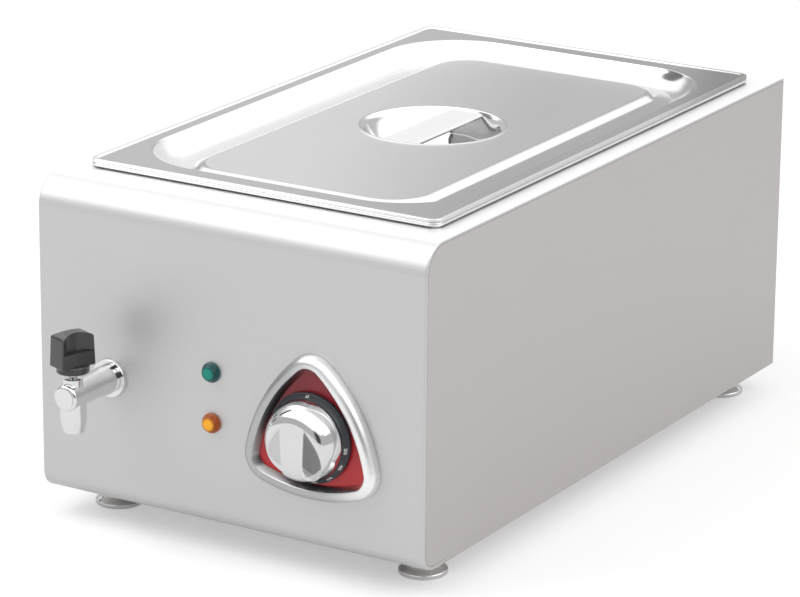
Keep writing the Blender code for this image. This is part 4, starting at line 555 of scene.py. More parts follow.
@dataclass(frozen=True)
class Plating(Finish):
    """Chrome or zinc plating over a smooth casting.

    Attributes:
        name: the material's name.
        colour: its lighter colour.
        roughness: its middle roughness.
        wave: how strongly its waves stand out.
        dull: the darker colour, as a share of the lighter.
        marks: how much the waves and the finger marks change the roughness.
        smoothest: the least roughness.
    """

    name: str
    colour: Colour
    roughness: float
    wave: float = 0.03
    dull: float = 0.93
    marks: Pair = (0.06, 0.03)
    smoothest: float = 0.01

    def dress(self, graph: Graph, shader: Node) -> None:
        """Faint polishing waves and finger marks in the roughness.

        Args:
            graph: the finish's node tree.
            shader: its shader.
        """
        clouds = graph.noise(graph.place(), 60.0, 3.0)
        spots = graph.noise(graph.place(), 420.0, 2.0)
        graph.feed(shader.inputs["Base Color"], self.colours(graph, clouds))
        shader.inputs["Metallic"].default_value = 1.0
        rough = clouds.swing(self.marks[0]) + spots.swing(self.marks[1]) + self.roughness
        graph.feed(shader.inputs["Roughness"], rough.larger(self.smoothest))
        graph.relief(shader, self.wave, clouds, 2 * RELIEF)

    def colours(self, graph: Graph, clouds: Value) -> Socket:
        """The colour's socket, darker in the clouds."""
        return graph.blend(clouds, self.colour, tuple(channel * self.dull for channel in self.colour))


@dataclass(frozen=True)
class ScoopedPlating(Plating):
    """Plating with painted shade inside the scoops of a domed knob.

    Attributes:
        axis: X and Z of the knob's axis.
        head: Y of the knob's front.
        radius: the dome's radius.
        fall: how far the dome falls back towards its edge.
        reach: the radius beyond which nothing is darker.
        power: how late the dome falls back.
        depth: how far behind the dome the shade begins and is full.
        seam: half of the width over which the two painted shade colours change.
        shades: the painted shade colours in the left scoop and in the right.
    """

    axis: Pair = (80.5 * MM, 118 * MM)
    head: float = FRONT_Y - 32.7 * MM
    radius: float = 33 * MM
    fall: float = 16 * MM
    reach: float = 26 * MM
    power: float = 6.0
    # depth: how far behind the dome the painted shade begins and is full.
    depth: Pair = (0.4 * MM, 1.2 * MM)
    seam: float = 2 * MM
    shades: tuple[Colour, Colour] = ((0.62, 0.62, 0.625), (0.46, 0.455, 0.46))

    def colours(self, graph: Graph, clouds: Value) -> Socket:
        """The plating's colour, with painted shade behind the dome's own curve.

        Args:
            graph: the finish's node tree.
            clouds: the plating's clouds.

        Returns:
            The colour's socket.
        """
        x, y, z = graph.position()
        across, up = x - self.axis[0], z - self.axis[1]
        reach = (across * across + up * up) ** 0.5
        depth = y - self.head - (reach / self.radius) ** self.power * self.fall
        # Painted shade in the scoops, lighter in the left one than in the right.
        share = depth.ramp(*self.depth) * (1.0 - reach.ramp(self.reach, self.reach + 1 * MM))
        shade = graph.blend(across.ramp(-self.seam, self.seam), *self.shades)
        return graph.blend(share, Plating.colours(self, graph, clouds), shade)


@dataclass(frozen=True)
class Moulded(Finish):
    """Moulded plastic or ceramic, plain or lightly textured.

    Attributes:
        name: the material's name.
        colour: its middle colour.
        roughness: its middle roughness.
        texture: how strongly the moulded grain stands out.
        fleck: how much the grain changes the colour.
        coat: the weight of a clear gloss on top.
        coat_roughness: that gloss's roughness.
        patches: how much the clouds change the roughness.
    """

    name: str
    colour: Colour
    roughness: float
    texture: float = 0.1
    fleck: float = 0.12
    coat: float = 0.0
    coat_roughness: float = 0.08
    patches: float = 0.10

    def dress(self, graph: Graph, shader: Node) -> None:
        """A fine moulded grain in relief, colour and roughness.

        Args:
            graph: the finish's node tree.
            shader: its shader.
        """
        grain = graph.noise(graph.place(), 1500.0, 2.0)
        clouds = graph.noise(graph.place(), 40.0, 3.0)
        dark = tuple(channel * (1.0 - self.fleck) for channel in self.colour)
        light = tuple(min(1.0, channel * (1.0 + self.fleck)) for channel in self.colour)
        graph.feed(shader.inputs["Base Color"], graph.blend(grain * 0.5 + clouds * 0.5, dark, light))
        graph.feed(shader.inputs["Roughness"], clouds.swing(self.patches) + self.roughness)
        shader.inputs["Coat Weight"].default_value = self.coat
        shader.inputs["Coat Roughness"].default_value = self.coat_roughness
        graph.relief(shader, self.texture, grain)


@dataclass(frozen=True)
class RedPlate(Finish):
    """The glossy red plate, deeper in colour towards its top.

    Attributes:
        name: the material's name.
        low: the colour at the bottom.
        high: the colour at the top.
        bottom: the height below which the first colour is plain.
        top: the height above which the second colour is plain.
        roughness: the least roughness and how much the peel adds.
        texture: how strongly the peel stands out.
    """

    name: str = "red_plate_gloss"
    low: Colour = (0.62, 0.030, 0.036)
    high: Colour = (0.27, 0.020, 0.030)
    bottom: float = 80 * MM
    top: float = 165 * MM
    roughness: Pair = (0.26, 0.08)
    texture: float = 0.05

    def dress(self, graph: Graph, shader: Node) -> None:
        """A colour that fades upwards, with a fine orange-peel relief.

        Args:
            graph: the finish's node tree.
            shader: its shader.
        """
        rise = graph.position()[2].ramp(self.bottom, self.top)
        peel = graph.noise(graph.place(), 700.0, 2.0)
        graph.feed(shader.inputs["Base Color"], graph.blend(rise, self.low, self.high))
        graph.feed(shader.inputs["Roughness"], peel * self.roughness[1] + self.roughness[0])
        graph.relief(shader, self.texture, peel)


@dataclass(frozen=True)
class LampLens(Finish):
    """A coloured lens that is brighter in the middle than at its rim.

    Attributes:
        name: the material's name.
        centre_z: the height of its axis.
        middle: the colour in the middle.
        rim: the colour at the rim.
        centre_x: where its axis lies across the front.
        inner: the radius up to which the middle's colour is plain.
        outer: the radius from which the rim's colour is plain.
        glow: how strongly it shines by itself.
        facet: how far the lens's facets shift the rings.
        roughness: the least roughness and how much the facets add.
        gloss: the shine of the plastic, and the weight of the clear coat.
        coat_roughness: the coat's roughness.
    """

    name: str
    centre_z: float
    middle: Colour
    rim: Colour
    centre_x: float = -14.5 * MM
    inner: float = 3.2 * MM
    outer: float = 6.2 * MM
    glow: float = 0.22
    facet: float = 1.2 * MM
    roughness: Pair = (0.28, 0.10)
    gloss: float = 0.25
    coat_roughness: float = 0.05

    def dress(self, graph: Graph, shader: Node) -> None:
        """Rings of colour about the lens's axis, under a clear gloss.

        Args:
            graph: the finish's node tree.
            shader: its shader.
        """
        x, _, z = graph.position()
        across, up = x - self.centre_x, z - self.centre_z
        reach = (across * across + up * up) ** 0.5
        facets = graph.noise(graph.place(), 900.0, 1.0)
        share = (reach + facets.swing(self.facet)).ramp(self.inner, self.outer)
        colour = graph.blend(share, self.middle, self.rim)
        graph.feed(shader.inputs["Base Color"], colour)
        graph.feed(shader.inputs["Emission Color"], colour)
        shader.inputs["Emission Strength"].default_value = self.glow
        graph.feed(shader.inputs["Roughness"], facets * self.roughness[1] + self.roughness[0])
        shader.inputs["Specular IOR Level"].default_value = self.gloss
        shader.inputs["Coat Weight"].default_value = self.gloss
        shader.inputs["Coat Roughness"].default_value = self.coat_roughness


@dataclass(frozen=True)
class Heated(Finish):
    """The element's dull sheath, browned by heat.

    Attributes:
        name: the material's name.
        cool: the colour of the plain sheath.
        hot: the colour of the stains.
        stained: the span of the pattern over which the stains begin.
        roughness: the least roughness and how much the stains add.
        texture: how strongly the stains stand out.
    """

    name: str = "element_sheath_heated"
    cool: Colour = (0.36, 0.35, 0.34)
    hot: Colour = (0.17, 0.13, 0.10)
    stained: Pair = (0.35, 0.7)
    roughness: Pair = (0.32, 0.25)
    texture: float = 0.1

    def dress(self, graph: Graph, shader: Node) -> None:
        """Heat stains in colour and roughness.

        Args:
            graph: the finish's node tree.
            shader: its shader.
        """
        stains = graph.noise(graph.place(), 26.0, 4.0)
        graph.feed(shader.inputs["Base Color"], graph.blend(stains.ramp(*self.stained), self.cool, self.hot))
        shader.inputs["Metallic"].default_value = 1.0
        graph.feed(shader.inputs["Roughness"], stains * self.roughness[1] + self.roughness[0])
        graph.relief(shader, self.texture, stains)


# ---- modelling tools


def smoothed(points: Sequence[Pair], steps: int = 6) -> list[Pair]:
    """A finer profile through the same points, rounded where they bend gently.

    Args:
        points: (radius, height) points.
        steps: how many pieces each span gets.

    Returns:
        The finer list of points.
    """
    ends = [points[0], *points, points[-1]]
    fine = [points[0]]
    for a, b, c, d in zip(ends, ends[1:], ends[2:], ends[3:]):
        for step in range(1, steps + 1):
            t = step / steps
            fine.append(tuple(
                0.5 * (
                    2 * q + (r - p) * t + (2 * p - 5 * q + 4 * r - s) * t * t
                    + (3 * q - p - 3 * r + s) * t ** 3
                )
                for p, q, r, s in zip(a, b, c, d)
            ))
    return fine


def bend(centre: Pair, radius: float, start: float, end: float, steps: int) -> list[Pair]:
    """Points round part of a circle.

    Args:
        centre: the circle's middle.
        radius: the circle's radius.
        start: the first angle, in radians.
        end: the last angle, in radians.
        steps: how many chords are laid.

    Returns:
        The points, both ends included.
    """
    turns = [start + (end - start) * step / steps for step in range(steps + 1)]
    return [(centre[0] + radius * math.cos(turn), centre[1] + radius * math.sin(turn)) for turn in turns]


def spun(profile: Sequence[Pair], steps: int = 96, ring: bool = False) -> Shape:
    """A piece turned about Z.

    Args:
        profile: (radius, height) points.
        steps: how many steps the full turn has.
        ring: whether the last point joins the first.

    Returns:
        The closed mesh.
    """
    bm = bmesh.new()
    line = [bm.verts.new((radius, 0.0, height)) for radius, height in profile]
    edges = [bm.edges.new(pair) for pair in zip(line, line[1:])]
    if ring:
        edges.append(bm.edges.new((line[-1], line[0])))
    bmesh.ops.spin(
        bm, geom=[*line, *edges], cent=(0, 0, 0), axis=(0, 0, 1), angle=FULL_TURN, steps=steps, use_merge=True
    )
    bmesh.ops.remove_doubles(bm, verts=bm.verts, dist=MERGE)
    bmesh.ops.recalc_face_normals(bm, faces=bm.faces)
    return bm


def box_mesh(low: Point, high: Point) -> Shape:
    """A block between two corners.

    Args:
        low: its lowest corner.
        high: its highest corner.

    Returns:
        The closed mesh.
    """
    bm = bmesh.new()
    size = Vector(high) - Vector(low)
    bmesh.ops.create_cube(bm, size=1.0)
    bmesh.ops.scale(bm, vec=size, verts=bm.verts)
    bmesh.ops.translate(bm, vec=(Vector(high) + Vector(low)) / 2, verts=bm.verts)
    return bm


def bar_mesh(
    radius: float, start: Point, end: Point, steps: int = 48, end_radius: Optional[float] = None
) -> Shape:
    """A straight round bar between two points.

    Args:
        radius: its radius at the start.
        start: where it starts.
        end: where it ends.
        steps: how many sides it has.
        end_radius: its radius at the end, if it tapers.

    Returns:
        The closed mesh.
    """
    bm = bmesh.new()
    span, middle = Vector(end) - Vector(start), (Vector(start) + Vector(end)) / 2
    far = radius if end_radius is None else end_radius
    bmesh.ops.create_cone(
        bm, cap_ends=True, segments=steps, radius1=radius, radius2=far, depth=span.length
    )
    turn = span.to_track_quat("Z", "Y").to_matrix().to_4x4()
    bmesh.ops.transform(bm, matrix=Matrix.Translation(middle) @ turn, verts=bm.verts)
    return bm


def round_edges(bm: Shape, edges: Sequence[bmesh.types.BMEdge], radius: float, segments: int = 4) -> None:
    """Bevel some edges to a round.

    Args:
        bm: the mesh.
        edges: the edges.
        radius: the radius of the round.
        segments: how many faces the round has.
    """
    bmesh.ops.bevel(
        bm, geom=list(edges), offset=radius, offset_type="OFFSET", affect="EDGES", segments=segments,
        profile=0.5, material=-1, clamp_overlap=True,
    )


def rectangle_ring(bm: Shape, half: Pair, corner: float, height: float, segments: int = 16) -> Edges:
    """A loop of edges round a rectangle with rounded corners.

    Args:
        bm: the mesh that gets the loop.
        half: half of the width and half of the length.
        corner: the radius of the corners.
        height: the loop's height.
        segments: how many edges a corner has.

    Returns:
        The loop's edges.
    """
    signs = ((1, 1), (-1, 1), (-1, -1), (1, -1))
    corners = [bm.verts.new((x * half[0], y * half[1], height)) for x, y in signs]
    face = bm.faces.new(corners)
    known = set(bm.edges) - set(face.edges)
    bmesh.ops.bevel(
        bm, geom=corners, offset=corner, offset_type="OFFSET", affect="VERTICES", segments=segments,
        profile=0.5, material=-1,
    )
    fresh = [e for e in bm.edges if e not in known and all(abs(v.co.z - height) < MERGE for v in e.verts)]
    inside = [f for f in bm.faces if all(e in fresh for e in f.edges)]
    bmesh.ops.delete(bm, geom=inside, context="FACES_ONLY")
    return fresh


def circle_ring(bm: Shape, radius: float, height: float, segments: int = 128) -> Edges:
    """A loop of edges round a circle at one height.

    Args:
        bm: the mesh that gets the loop.
        radius: the circle's radius.
        height: its height.
        segments: how many edges it has.

    Returns:
        The loop's edges.
    """
    made = bmesh.ops.create_circle(
        bm, cap_ends=False, segments=segments, radius=radius, matrix=Matrix.Translation((0, 0, height))
    )
    return list({edge for vert in made["verts"] for edge in vert.link_edges})


@dataclass(frozen=True)
class Loop:
    """A level loop round a rectangle with rounded corners.

    Attributes:
        half: half of the width and half of the length.
        corner: the radius of the corners.
        height: the loop's height.
    """

    half: Pair
    corner: float
    height: float

    def corner_centre(self, at: Vector) -> Vector:
        """The centre of the corner that is nearest to a point."""
        across, along = self.half[0] - self.corner, self.half[1] - self.corner
        return Vector((math.copysign(across, at.x), math.copysign(along, at.y), self.height))


def edges_of(verts: Iterable[bmesh.types.BMVert]) -> Edges:
    """The edges that run between vertices of a set."""
    chosen = set(verts)
    return [edge for edge in {e for v in chosen for e in v.link_edges} if set(edge.verts) <= chosen]


def swept(bm: Shape, loops: Sequence[Loop], segments: int) -> tuple[Edges, ...]:
    """Carry a loop of edges from each loop to the next, each corner about its own centre.

    Args:
        bm: the mesh that gets the sheet.
        loops: the loops, in order.
        segments: how many edges a corner has.

    Returns:
        The first edges and the last.
    """
    first = last = rectangle_ring(bm, loops[0].half, loops[0].corner, loops[0].height, segments)
    for old, new in zip(loops, loops[1:]):
        made = bmesh.ops.extrude_edge_only(bm, edges=last)["geom"]
        verts = [item for item in made if isinstance(item, bmesh.types.BMVert)]
        for vert in verts:
            way = (vert.co - old.corner_centre(vert.co)) / old.corner
            vert.co = new.corner_centre(vert.co) + way * new.corner
        last = edges_of(verts)
    return first, last


def swept_round(bm: Shape, rounds: Sequence[Pair], segments: int = 128) -> tuple[Edges, ...]:
    """Carry a circle of edges through other circles.

    Args:
        bm: the mesh that gets the sheet.
        rounds: pairs of radius and height, in order.
        segments: how many edges a circle has.

    Returns:
        The first edges and the last.
    """
    first = last = circle_ring(bm, *rounds[0], segments)
    for old, new in zip(rounds, rounds[1:]):
        made = bmesh.ops.extrude_edge_only(bm, edges=last)["geom"]
        verts = [item for item in made if isinstance(item, bmesh.types.BMVert)]
        bmesh.ops.scale(bm, vec=(new[0] / old[0], new[0] / old[0], 1.0), verts=verts)
        bmesh.ops.translate(bm, vec=(0, 0, new[1] - old[1]), verts=verts)
        last = edges_of(verts)
    return first, last


def fill_level(bm: Shape, *loops: Sequence[bmesh.types.BMEdge]) -> None:
    """Fill the level ground between loops, or inside one.

    Args:
        bm: the mesh.
        loops: the loops of edges.
    """
    edges = [edge for loop in loops for edge in loop]
    bmesh.ops.triangle_fill(bm, use_beauty=True, use_dissolve=False, edges=edges)


def to_mesh(name: str, bm: Shape) -> bpy.types.Mesh:
    """Turn a bmesh into a mesh and free it.

    Args:
        name: the mesh's name.
        bm: the shape; it is freed.

    Returns:
        The mesh.
    """
    mesh = bpy.data.meshes.new(name)
    bm.to_mesh(mesh)
    bm.free()
    return mesh


def carve(bm: Shape, others: Iterable[Shape], operation: str = "DIFFERENCE") -> Shape:
    """Cut other shapes out of this one, or join them on.

    Args:
        bm: the shape that is worked on; it is freed.
        others: the shapes that cut or join; they are freed.
        operation: the name of the boolean operation.

    Returns:
        The worked shape.
    """
    scene = bpy.context.scene
    blank = bpy.data.objects.new("blank", to_mesh("blank", bm))
    scene.collection.objects.link(blank)
    tools = []
    for other in others:
        tool = bpy.data.objects.new("tool", to_mesh("tool", other))
        scene.collection.objects.link(tool)
        modifier = blank.modifiers.new("carve", "BOOLEAN")
        modifier.operation = operation
        modifier.object = tool
        modifier.solver = "EXACT"
        tools.append(tool)
    bpy.context.view_layer.update()
    worked = bpy.data.meshes.new_from_object(blank.evaluated_get(bpy.context.evaluated_depsgraph_get()))
    result = bmesh.new()
    result.from_mesh(worked)
    for spent in [blank, *tools]:
        mesh = spent.data
        bpy.data.objects.remove(spent, do_unlink=True)
        bpy.data.meshes.remove(mesh)
    bpy.data.meshes.remove(worked)
    bmesh.ops.remove_doubles(result, verts=result.verts, dist=MERGE)
    bmesh.ops.dissolve_degenerate(result, edges=result.edges, dist=MERGE / 2)
    return result


def turned_to(place: Point, turn: Point = (0.0, 0.0, 0.0)) -> Matrix:
    """A move to a place after turns about X, Y and Z."""
    about_x, about_y, about_z = (Matrix.Rotation(angle, 4, axis) for angle, axis in zip(turn, "XYZ"))
    return Matrix.Translation(place) @ about_z @ about_y @ about_x


class Assembly:
    """A sub-assembly that builds its own pieces and dresses them.

    Attributes:
        body: the moving body that its pieces belong to.
    """

    body: str = "cabinet"

    def build(self) -> None:
        """Build and dress all the pieces."""
        raise NotImplementedError

    def add(
        self, name: str, bm: Shape, finish: Finish, nodes: Sequence[str] = (), slot: str = "",
        place: Optional[Matrix] = None, body: str = "", sharp: float = SHARP, weigh: bool = True,
    ) -> bpy.types.Object:
        """Put one finished piece in the scene.

        Args:
            name: the piece's name.
            bm: its shape, drawn from the front face on the floor, or about its own axis.
            finish: its finish.
            nodes: the CAD nodes that it stands for.
            slot: the material slot of the CAD part; not used.
            place: where its own axis goes.
            body: the moving body that it belongs to, if not the assembly's.
            sharp: the angle from which an edge stays sharp.
            weigh: whether large faces lead the shading.

        Returns:
            The new object.
        """
        move = Matrix.Translation((0.0, FRONT_Y, 0.0)) @ (place or Matrix())
        bmesh.ops.transform(bm, matrix=move, verts=bm.verts)
        mesh = to_mesh(name, bm)
        mesh.shade_smooth()
        mesh.set_sharp_from_angle(angle=sharp)
        mesh.materials.append(finish.material())
        piece = bpy.data.objects.new(name, mesh)
        bpy.context.scene.collection.objects.link(piece)
        if weigh:
            normals = piece.modifiers.new("weighted_normals", "WEIGHTED_NORMAL")
            normals.keep_sharp = True
        bpy.context.view_layer.update()
        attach(piece, body or self.body)
        if nodes:
            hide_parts(*nodes)
        LOG.info("%s: %d faces", name, len(mesh.polygons))
        return piece


def thickened(bm: Shape, thickness: float) -> Shape:
    """Give an open sheet its thickness, on the side away from its normals.

    Args:
        bm: the open sheet; it is freed.
        thickness: the sheet's thickness.

    Returns:
        The closed sheet.
    """
    blank = bpy.data.objects.new("sheet", to_mesh("sheet", bm))
    bpy.context.scene.collection.objects.link(blank)
    modifier = blank.modifiers.new("thickness", "SOLIDIFY")
    modifier.thickness = thickness
    modifier.offset = -1.0
    modifier.use_even_offset = True
    modifier.use_quality_normals = True
    bpy.context.view_layer.update()
    worked = bpy.data.meshes.new_from_object(blank.evaluated_get(bpy.context.evaluated_depsgraph_get()))
    result = bmesh.new()
    result.from_mesh(worked)
    mesh = blank.data
    bpy.data.objects.remove(blank, do_unlink=True)
    bpy.data.meshes.remove(mesh)
    bpy.data.meshes.remove(worked)
    return result


def faced_up(bm: Shape, towards: Point) -> None:
    """Turn all faces of an open sheet so that its largest one looks towards a direction.

    Args:
        bm: the sheet.
        towards: the direction.
    """
    bmesh.ops.recalc_face_normals(bm, faces=bm.faces)
    largest = max(bm.faces, key=lambda face: face.calc_area())
    if largest.normal.dot(Vector(towards)) < 0:
        bmesh.ops.reverse_faces(bm, faces=bm.faces)


def rounded_block(half: Pair, corner: float, low: float, high: float) -> Shape:
    """A block with rounded upright corners, standing on Z about its own axis.

    Args:
        half: half of its width and length.
        corner: the radius of its corners.
        low: its lower end.
        high: its upper end.

    Returns:
        The closed mesh.
    """
    bm = bmesh.new()
    rings = [rectangle_ring(bm, half, corner, height) for height in (low, high)]
    bmesh.ops.bridge_loops(bm, edges=[edge for ring in rings for edge in ring])
    for ring in rings:
        bmesh.ops.contextual_create(bm, geom=ring)
    bmesh.ops.recalc_face_normals(bm, faces=bm.faces)
    return bm


def prism(outline: Sequence[Pair], length: float) -> Shape:
    """A straight bar with a given section, centred along Z.

    Args:
        outline: the section's points.
        length: the bar's length.

    Returns:
        The closed mesh.
    """
    bm = bmesh.new()
    face = bmesh.ops.contextual_create(bm, geom=outline_ring(bm, outline, -length / 2))["faces"][0]
    pushed = bmesh.ops.extrude_face_region(bm, geom=[face])["geom"]
    moved = [item for item in pushed if isinstance(item, bmesh.types.BMVert)]
    bmesh.ops.translate(bm, vec=(0, 0, length), verts=moved)
    bmesh.ops.recalc_face_normals(bm, faces=bm.faces)
    return bm


def outline_ring(bm: Shape, outline: Sequence[Pair], height: float) -> Edges:
    """A closed loop of edges through the points of an outline, at one height.

    Args:
        bm: the mesh that gets the loop.
        outline: its points.
        height: its height.

    Returns:
        The loop's edges, in order.
    """
    points = [bm.verts.new((x, y, height)) for x, y in outline]
    return [bm.edges.new((first, second)) for first, second in zip(points, points[1:] + points[:1])]


def carried(bm: Shape, outline: Callable[[float], list[Pair]], rows: Sequence[Pair]) -> None:
    """Carry an outline's edges through a row of insets and heights.

    Args:
        bm: the mesh that gets the sheet.
        outline: gives the outline's points, always as many, at an inset.
        rows: pairs of inset and height.
    """
    edges = outline_ring(bm, outline(rows[0][0]), rows[0][1])
    places = {vert: number for number, vert in enumerate(edge.verts[0] for edge in edges)}
    for inset, height in rows[1:]:
        made = bmesh.ops.extrude_edge_only(bm, edges=edges)["geom"]
        points, fresh = outline(inset), {}
        for vert in (item for item in made if isinstance(item, bmesh.types.BMVert)):
            old = next(near for near in (edge.other_vert(vert) for edge in vert.link_edges) if near in places)
            vert.co = (*points[places[old]], height)
            fresh[vert] = places[old]
        places, edges = fresh, edges_of(fresh)


# ---- finishes

# Painted light and shade: the deck above the level is lighter than the front below it, though both are one
# bent sheet.
SHEET_STEEL = LevelSteel(
    "sheet_steel_painted_deck_highlight", (0.93, 0.93, 0.93), 0.46, Grain.ACROSS, streak=0.02, tint=0.04, metal=0.72,
    level=285.2 * MM, shade=(0.66, 0.66, 0.66), blur=0.6 * MM,
)
SIDE_STEEL = Steel(
    "sheet_steel_side", (0.60, 0.572, 0.568), 0.44, Grain.ALONG, streak=0.015, tint=0.03, metal=0.85
)
# Painted reflections and shade: the lid's colours change by zone and by side.
LID_STEEL = PressedSteel(
    "lid_steel_painted_reflections", (0.70, 0.70, 0.70), 0.30, Grain.NONE, streak=0.02, relief=0.02,
    centre=(0.0, 310 * MM + FRONT_Y),
)
# Painted highlight and shade: the strap's top is white and not metallic for its bright reflection, its
# turned-down hems dark below the level.
STRAP_STEEL = LevelSteel(
    "strap_steel_painted_light_and_shade", (1.0, 1.0, 1.0), 0.20, Grain.ALONG, streak=0.02, relief=0.02, tint=0.01,
    metal=0.0, level=281.5 * MM,
)
TANK_STEEL = Steel("polished_steel_tank", (0.72, 0.72, 0.73), 0.14, Grain.NONE, streak=0.02, relief=0.02)
# Painted shadow: the pan's rim is near black below the level, outside the well, for the gap under it.
PAN_STEEL = LevelSteel(
    "pan_steel_painted_rim_shadow", (0.72, 0.72, 0.73), 0.14, Grain.NONE, streak=0.02, relief=0.02, level=287.6 * MM,
    shade=(0.03, 0.03, 0.03), core=(161.5 * MM, 264 * MM), centre_y=310 * MM + FRONT_Y,
)
# Painted shade and highlight: the bezel darker to the left and below, near white to the right and above.
SATIN = GradedSteel(
    "satin_bezel_painted_light_and_shade", (0.50, 0.50, 0.505), 0.30, Grain.NONE, streak=0.02, relief=0.02,
    axis=(1.0, 0.0, 0.35), start=115 * MM, end=170 * MM, far=(0.98, 0.98, 0.98),
)
CHROME = Plating("bright_chrome", (0.82, 0.82, 0.825), 0.05)
# Painted shade in the knob's scoops.
CAP_CHROME = ScoopedPlating("knob_chrome_painted_scoop_shade", (0.78, 0.78, 0.785), 0.05)
ZINC = Plating("dull_zinc", (0.55, 0.55, 0.53), 0.38, wave=0.08)
COPPER = Plating("bare_copper", (0.62, 0.30, 0.18), 0.34, wave=0.05)
BLACK = Moulded("black_knob_plastic", (0.032, 0.032, 0.033), 0.30, coat=0.4)
DIAL_BLACK = Moulded("dial_plastic", (0.030, 0.036, 0.042), 0.32, texture=0.04)
DIAL_PRINT = Moulded("dial_numbers", (0.80, 0.80, 0.78), 0.45, texture=0.02, fleck=0.04)
PHENOLIC = Moulded("phenolic_housing", (0.06, 0.055, 0.05), 0.48)
PORCELAIN = Moulded("white_porcelain", (0.80, 0.78, 0.72), 0.55, fleck=0.05)
BROWN_WIRE = Moulded("brown_insulation", (0.16, 0.07, 0.03), 0.50)
BLUE_WIRE = Moulded("blue_insulation", (0.03, 0.12, 0.42), 0.50)
GREEN_WIRE = Moulded("green_insulation", (0.10, 0.36, 0.08), 0.50)
SHEATH = Heated()
RED = RedPlate()


# ---- sub-assemblies


@dataclass
class Cabinet(Assembly):
    """The bent front and deck.

    Attributes:
        width: the cabinet's width.
        depth: the cabinet's depth.
        height: its height above the feet.
        foot: the feet's height.
        sheet: the sheet's thickness.
        top_bend: the radius between front and deck.
        bottom_bend: the radius at the bottom of the front.
        bottom_return: how far the sheet runs on below the cabinet.
        edge: the radius of the turned side edges.
        hem: how far the side edges run inwards.
        well: half of the well's width and length.
        well_corner: the radius of its corners.
        well_y: where its middle lies.
        holes: radius, X and Z of each hole in the front.
    """

    width: float = 360 * MM
    depth: float = 606 * MM
    height: float = 264 * MM
    foot: float = 22 * MM
    sheet: float = 0.8 * MM
    top_bend: float = 25 * MM
    bottom_bend: float = 15 * MM
    bottom_return: float = 18 * MM
    edge: float = 1.8 * MM
    hem: float = 0.8 * MM
    well: Pair = (156.5 * MM, 259 * MM)
    well_corner: float = 5 * MM
    well_y: float = 310 * MM
    holes: tuple[tuple[float, float, float], ...] = (
        (6.9 * MM, -112 * MM, 130 * MM), (5.3 * MM, -14.5 * MM, 152.5 * MM),
        (5.3 * MM, -14.5 * MM, 110.5 * MM), (5.1 * MM, 80.5 * MM, 118 * MM),
        (2.2 * MM, 80.5 * MM, 144 * MM), (2.2 * MM, 80.5 * MM, 92 * MM),
    )

    def build(self) -> None:
        """Build the front and deck."""
        self.add(
            "front_and_deck_fine", self.shell(), SHEET_STEEL, ["front_and_deck"], "brushed_steel",
            sharp=math.radians(50),
        )

    def shell(self) -> Shape:
        """The bent sheet with rounded front edges, turned side edges, well and holes.

        Returns:
            The closed mesh.
        """
        bottom, top, half = self.foot + self.sheet + FIT, self.foot + self.height, self.width / 2
        bm = box_mesh((-half, 0.0, bottom), (half, self.depth, top))
        for level, radius, segments in ((top, self.top_bend, 24), (bottom, self.bottom_bend, 16)):
            low = [e for e in bm.edges if all(v.co.y < NEAR and abs(v.co.z - level) < NEAR for v in e.verts)]
            round_edges(bm, low, radius, segments)
        back = [f for f in bm.faces if f.calc_center_median().y > self.depth - NEAR]
        bmesh.ops.delete(bm, geom=back, context="FACES")
        sides = [f for f in bm.faces if abs(f.normal.x) > 0.9]
        rims = {e for f in sides for e in f.edges if len(e.link_faces) == 2}
        round_edges(bm, list(rims), self.edge, 4)
        sides = sorted(bm.faces, key=lambda f: -len(f.verts))[:2]
        bmesh.ops.inset_region(bm, faces=sides, thickness=self.hem, use_boundary=False, use_even_offset=True)
        bmesh.ops.delete(bm, geom=[f for f in sides if f.is_valid], context="FACES")
        cut = self.bottom_bend + self.bottom_return
        bmesh.ops.bisect_plane(
            bm, geom=[*bm.verts, *bm.edges, *bm.faces], dist=NEAR, plane_co=(0, cut, 0), plane_no=(0, 1, 0)
        )
        level = bottom + self.edge + self.hem + NEAR
        low = [f for f in bm.faces if f.calc_center_median().y > cut and f.calc_center_median().z < level]
        bmesh.ops.delete(bm, geom=low, context="FACES")
        faced_up(bm, (0, 0, 1))
        tools = [rounded_block(self.well, self.well_corner, -OVER, OVER)]
        bmesh.ops.translate(tools[0], vec=(0, self.well_y, top), verts=tools[0].verts)
        tools += [bar_mesh(radius, (x, -OVER, z), (x, OVER, z)) for radius, x, z in self.holes]
        return carve(thickened(bm, self.sheet), tools)


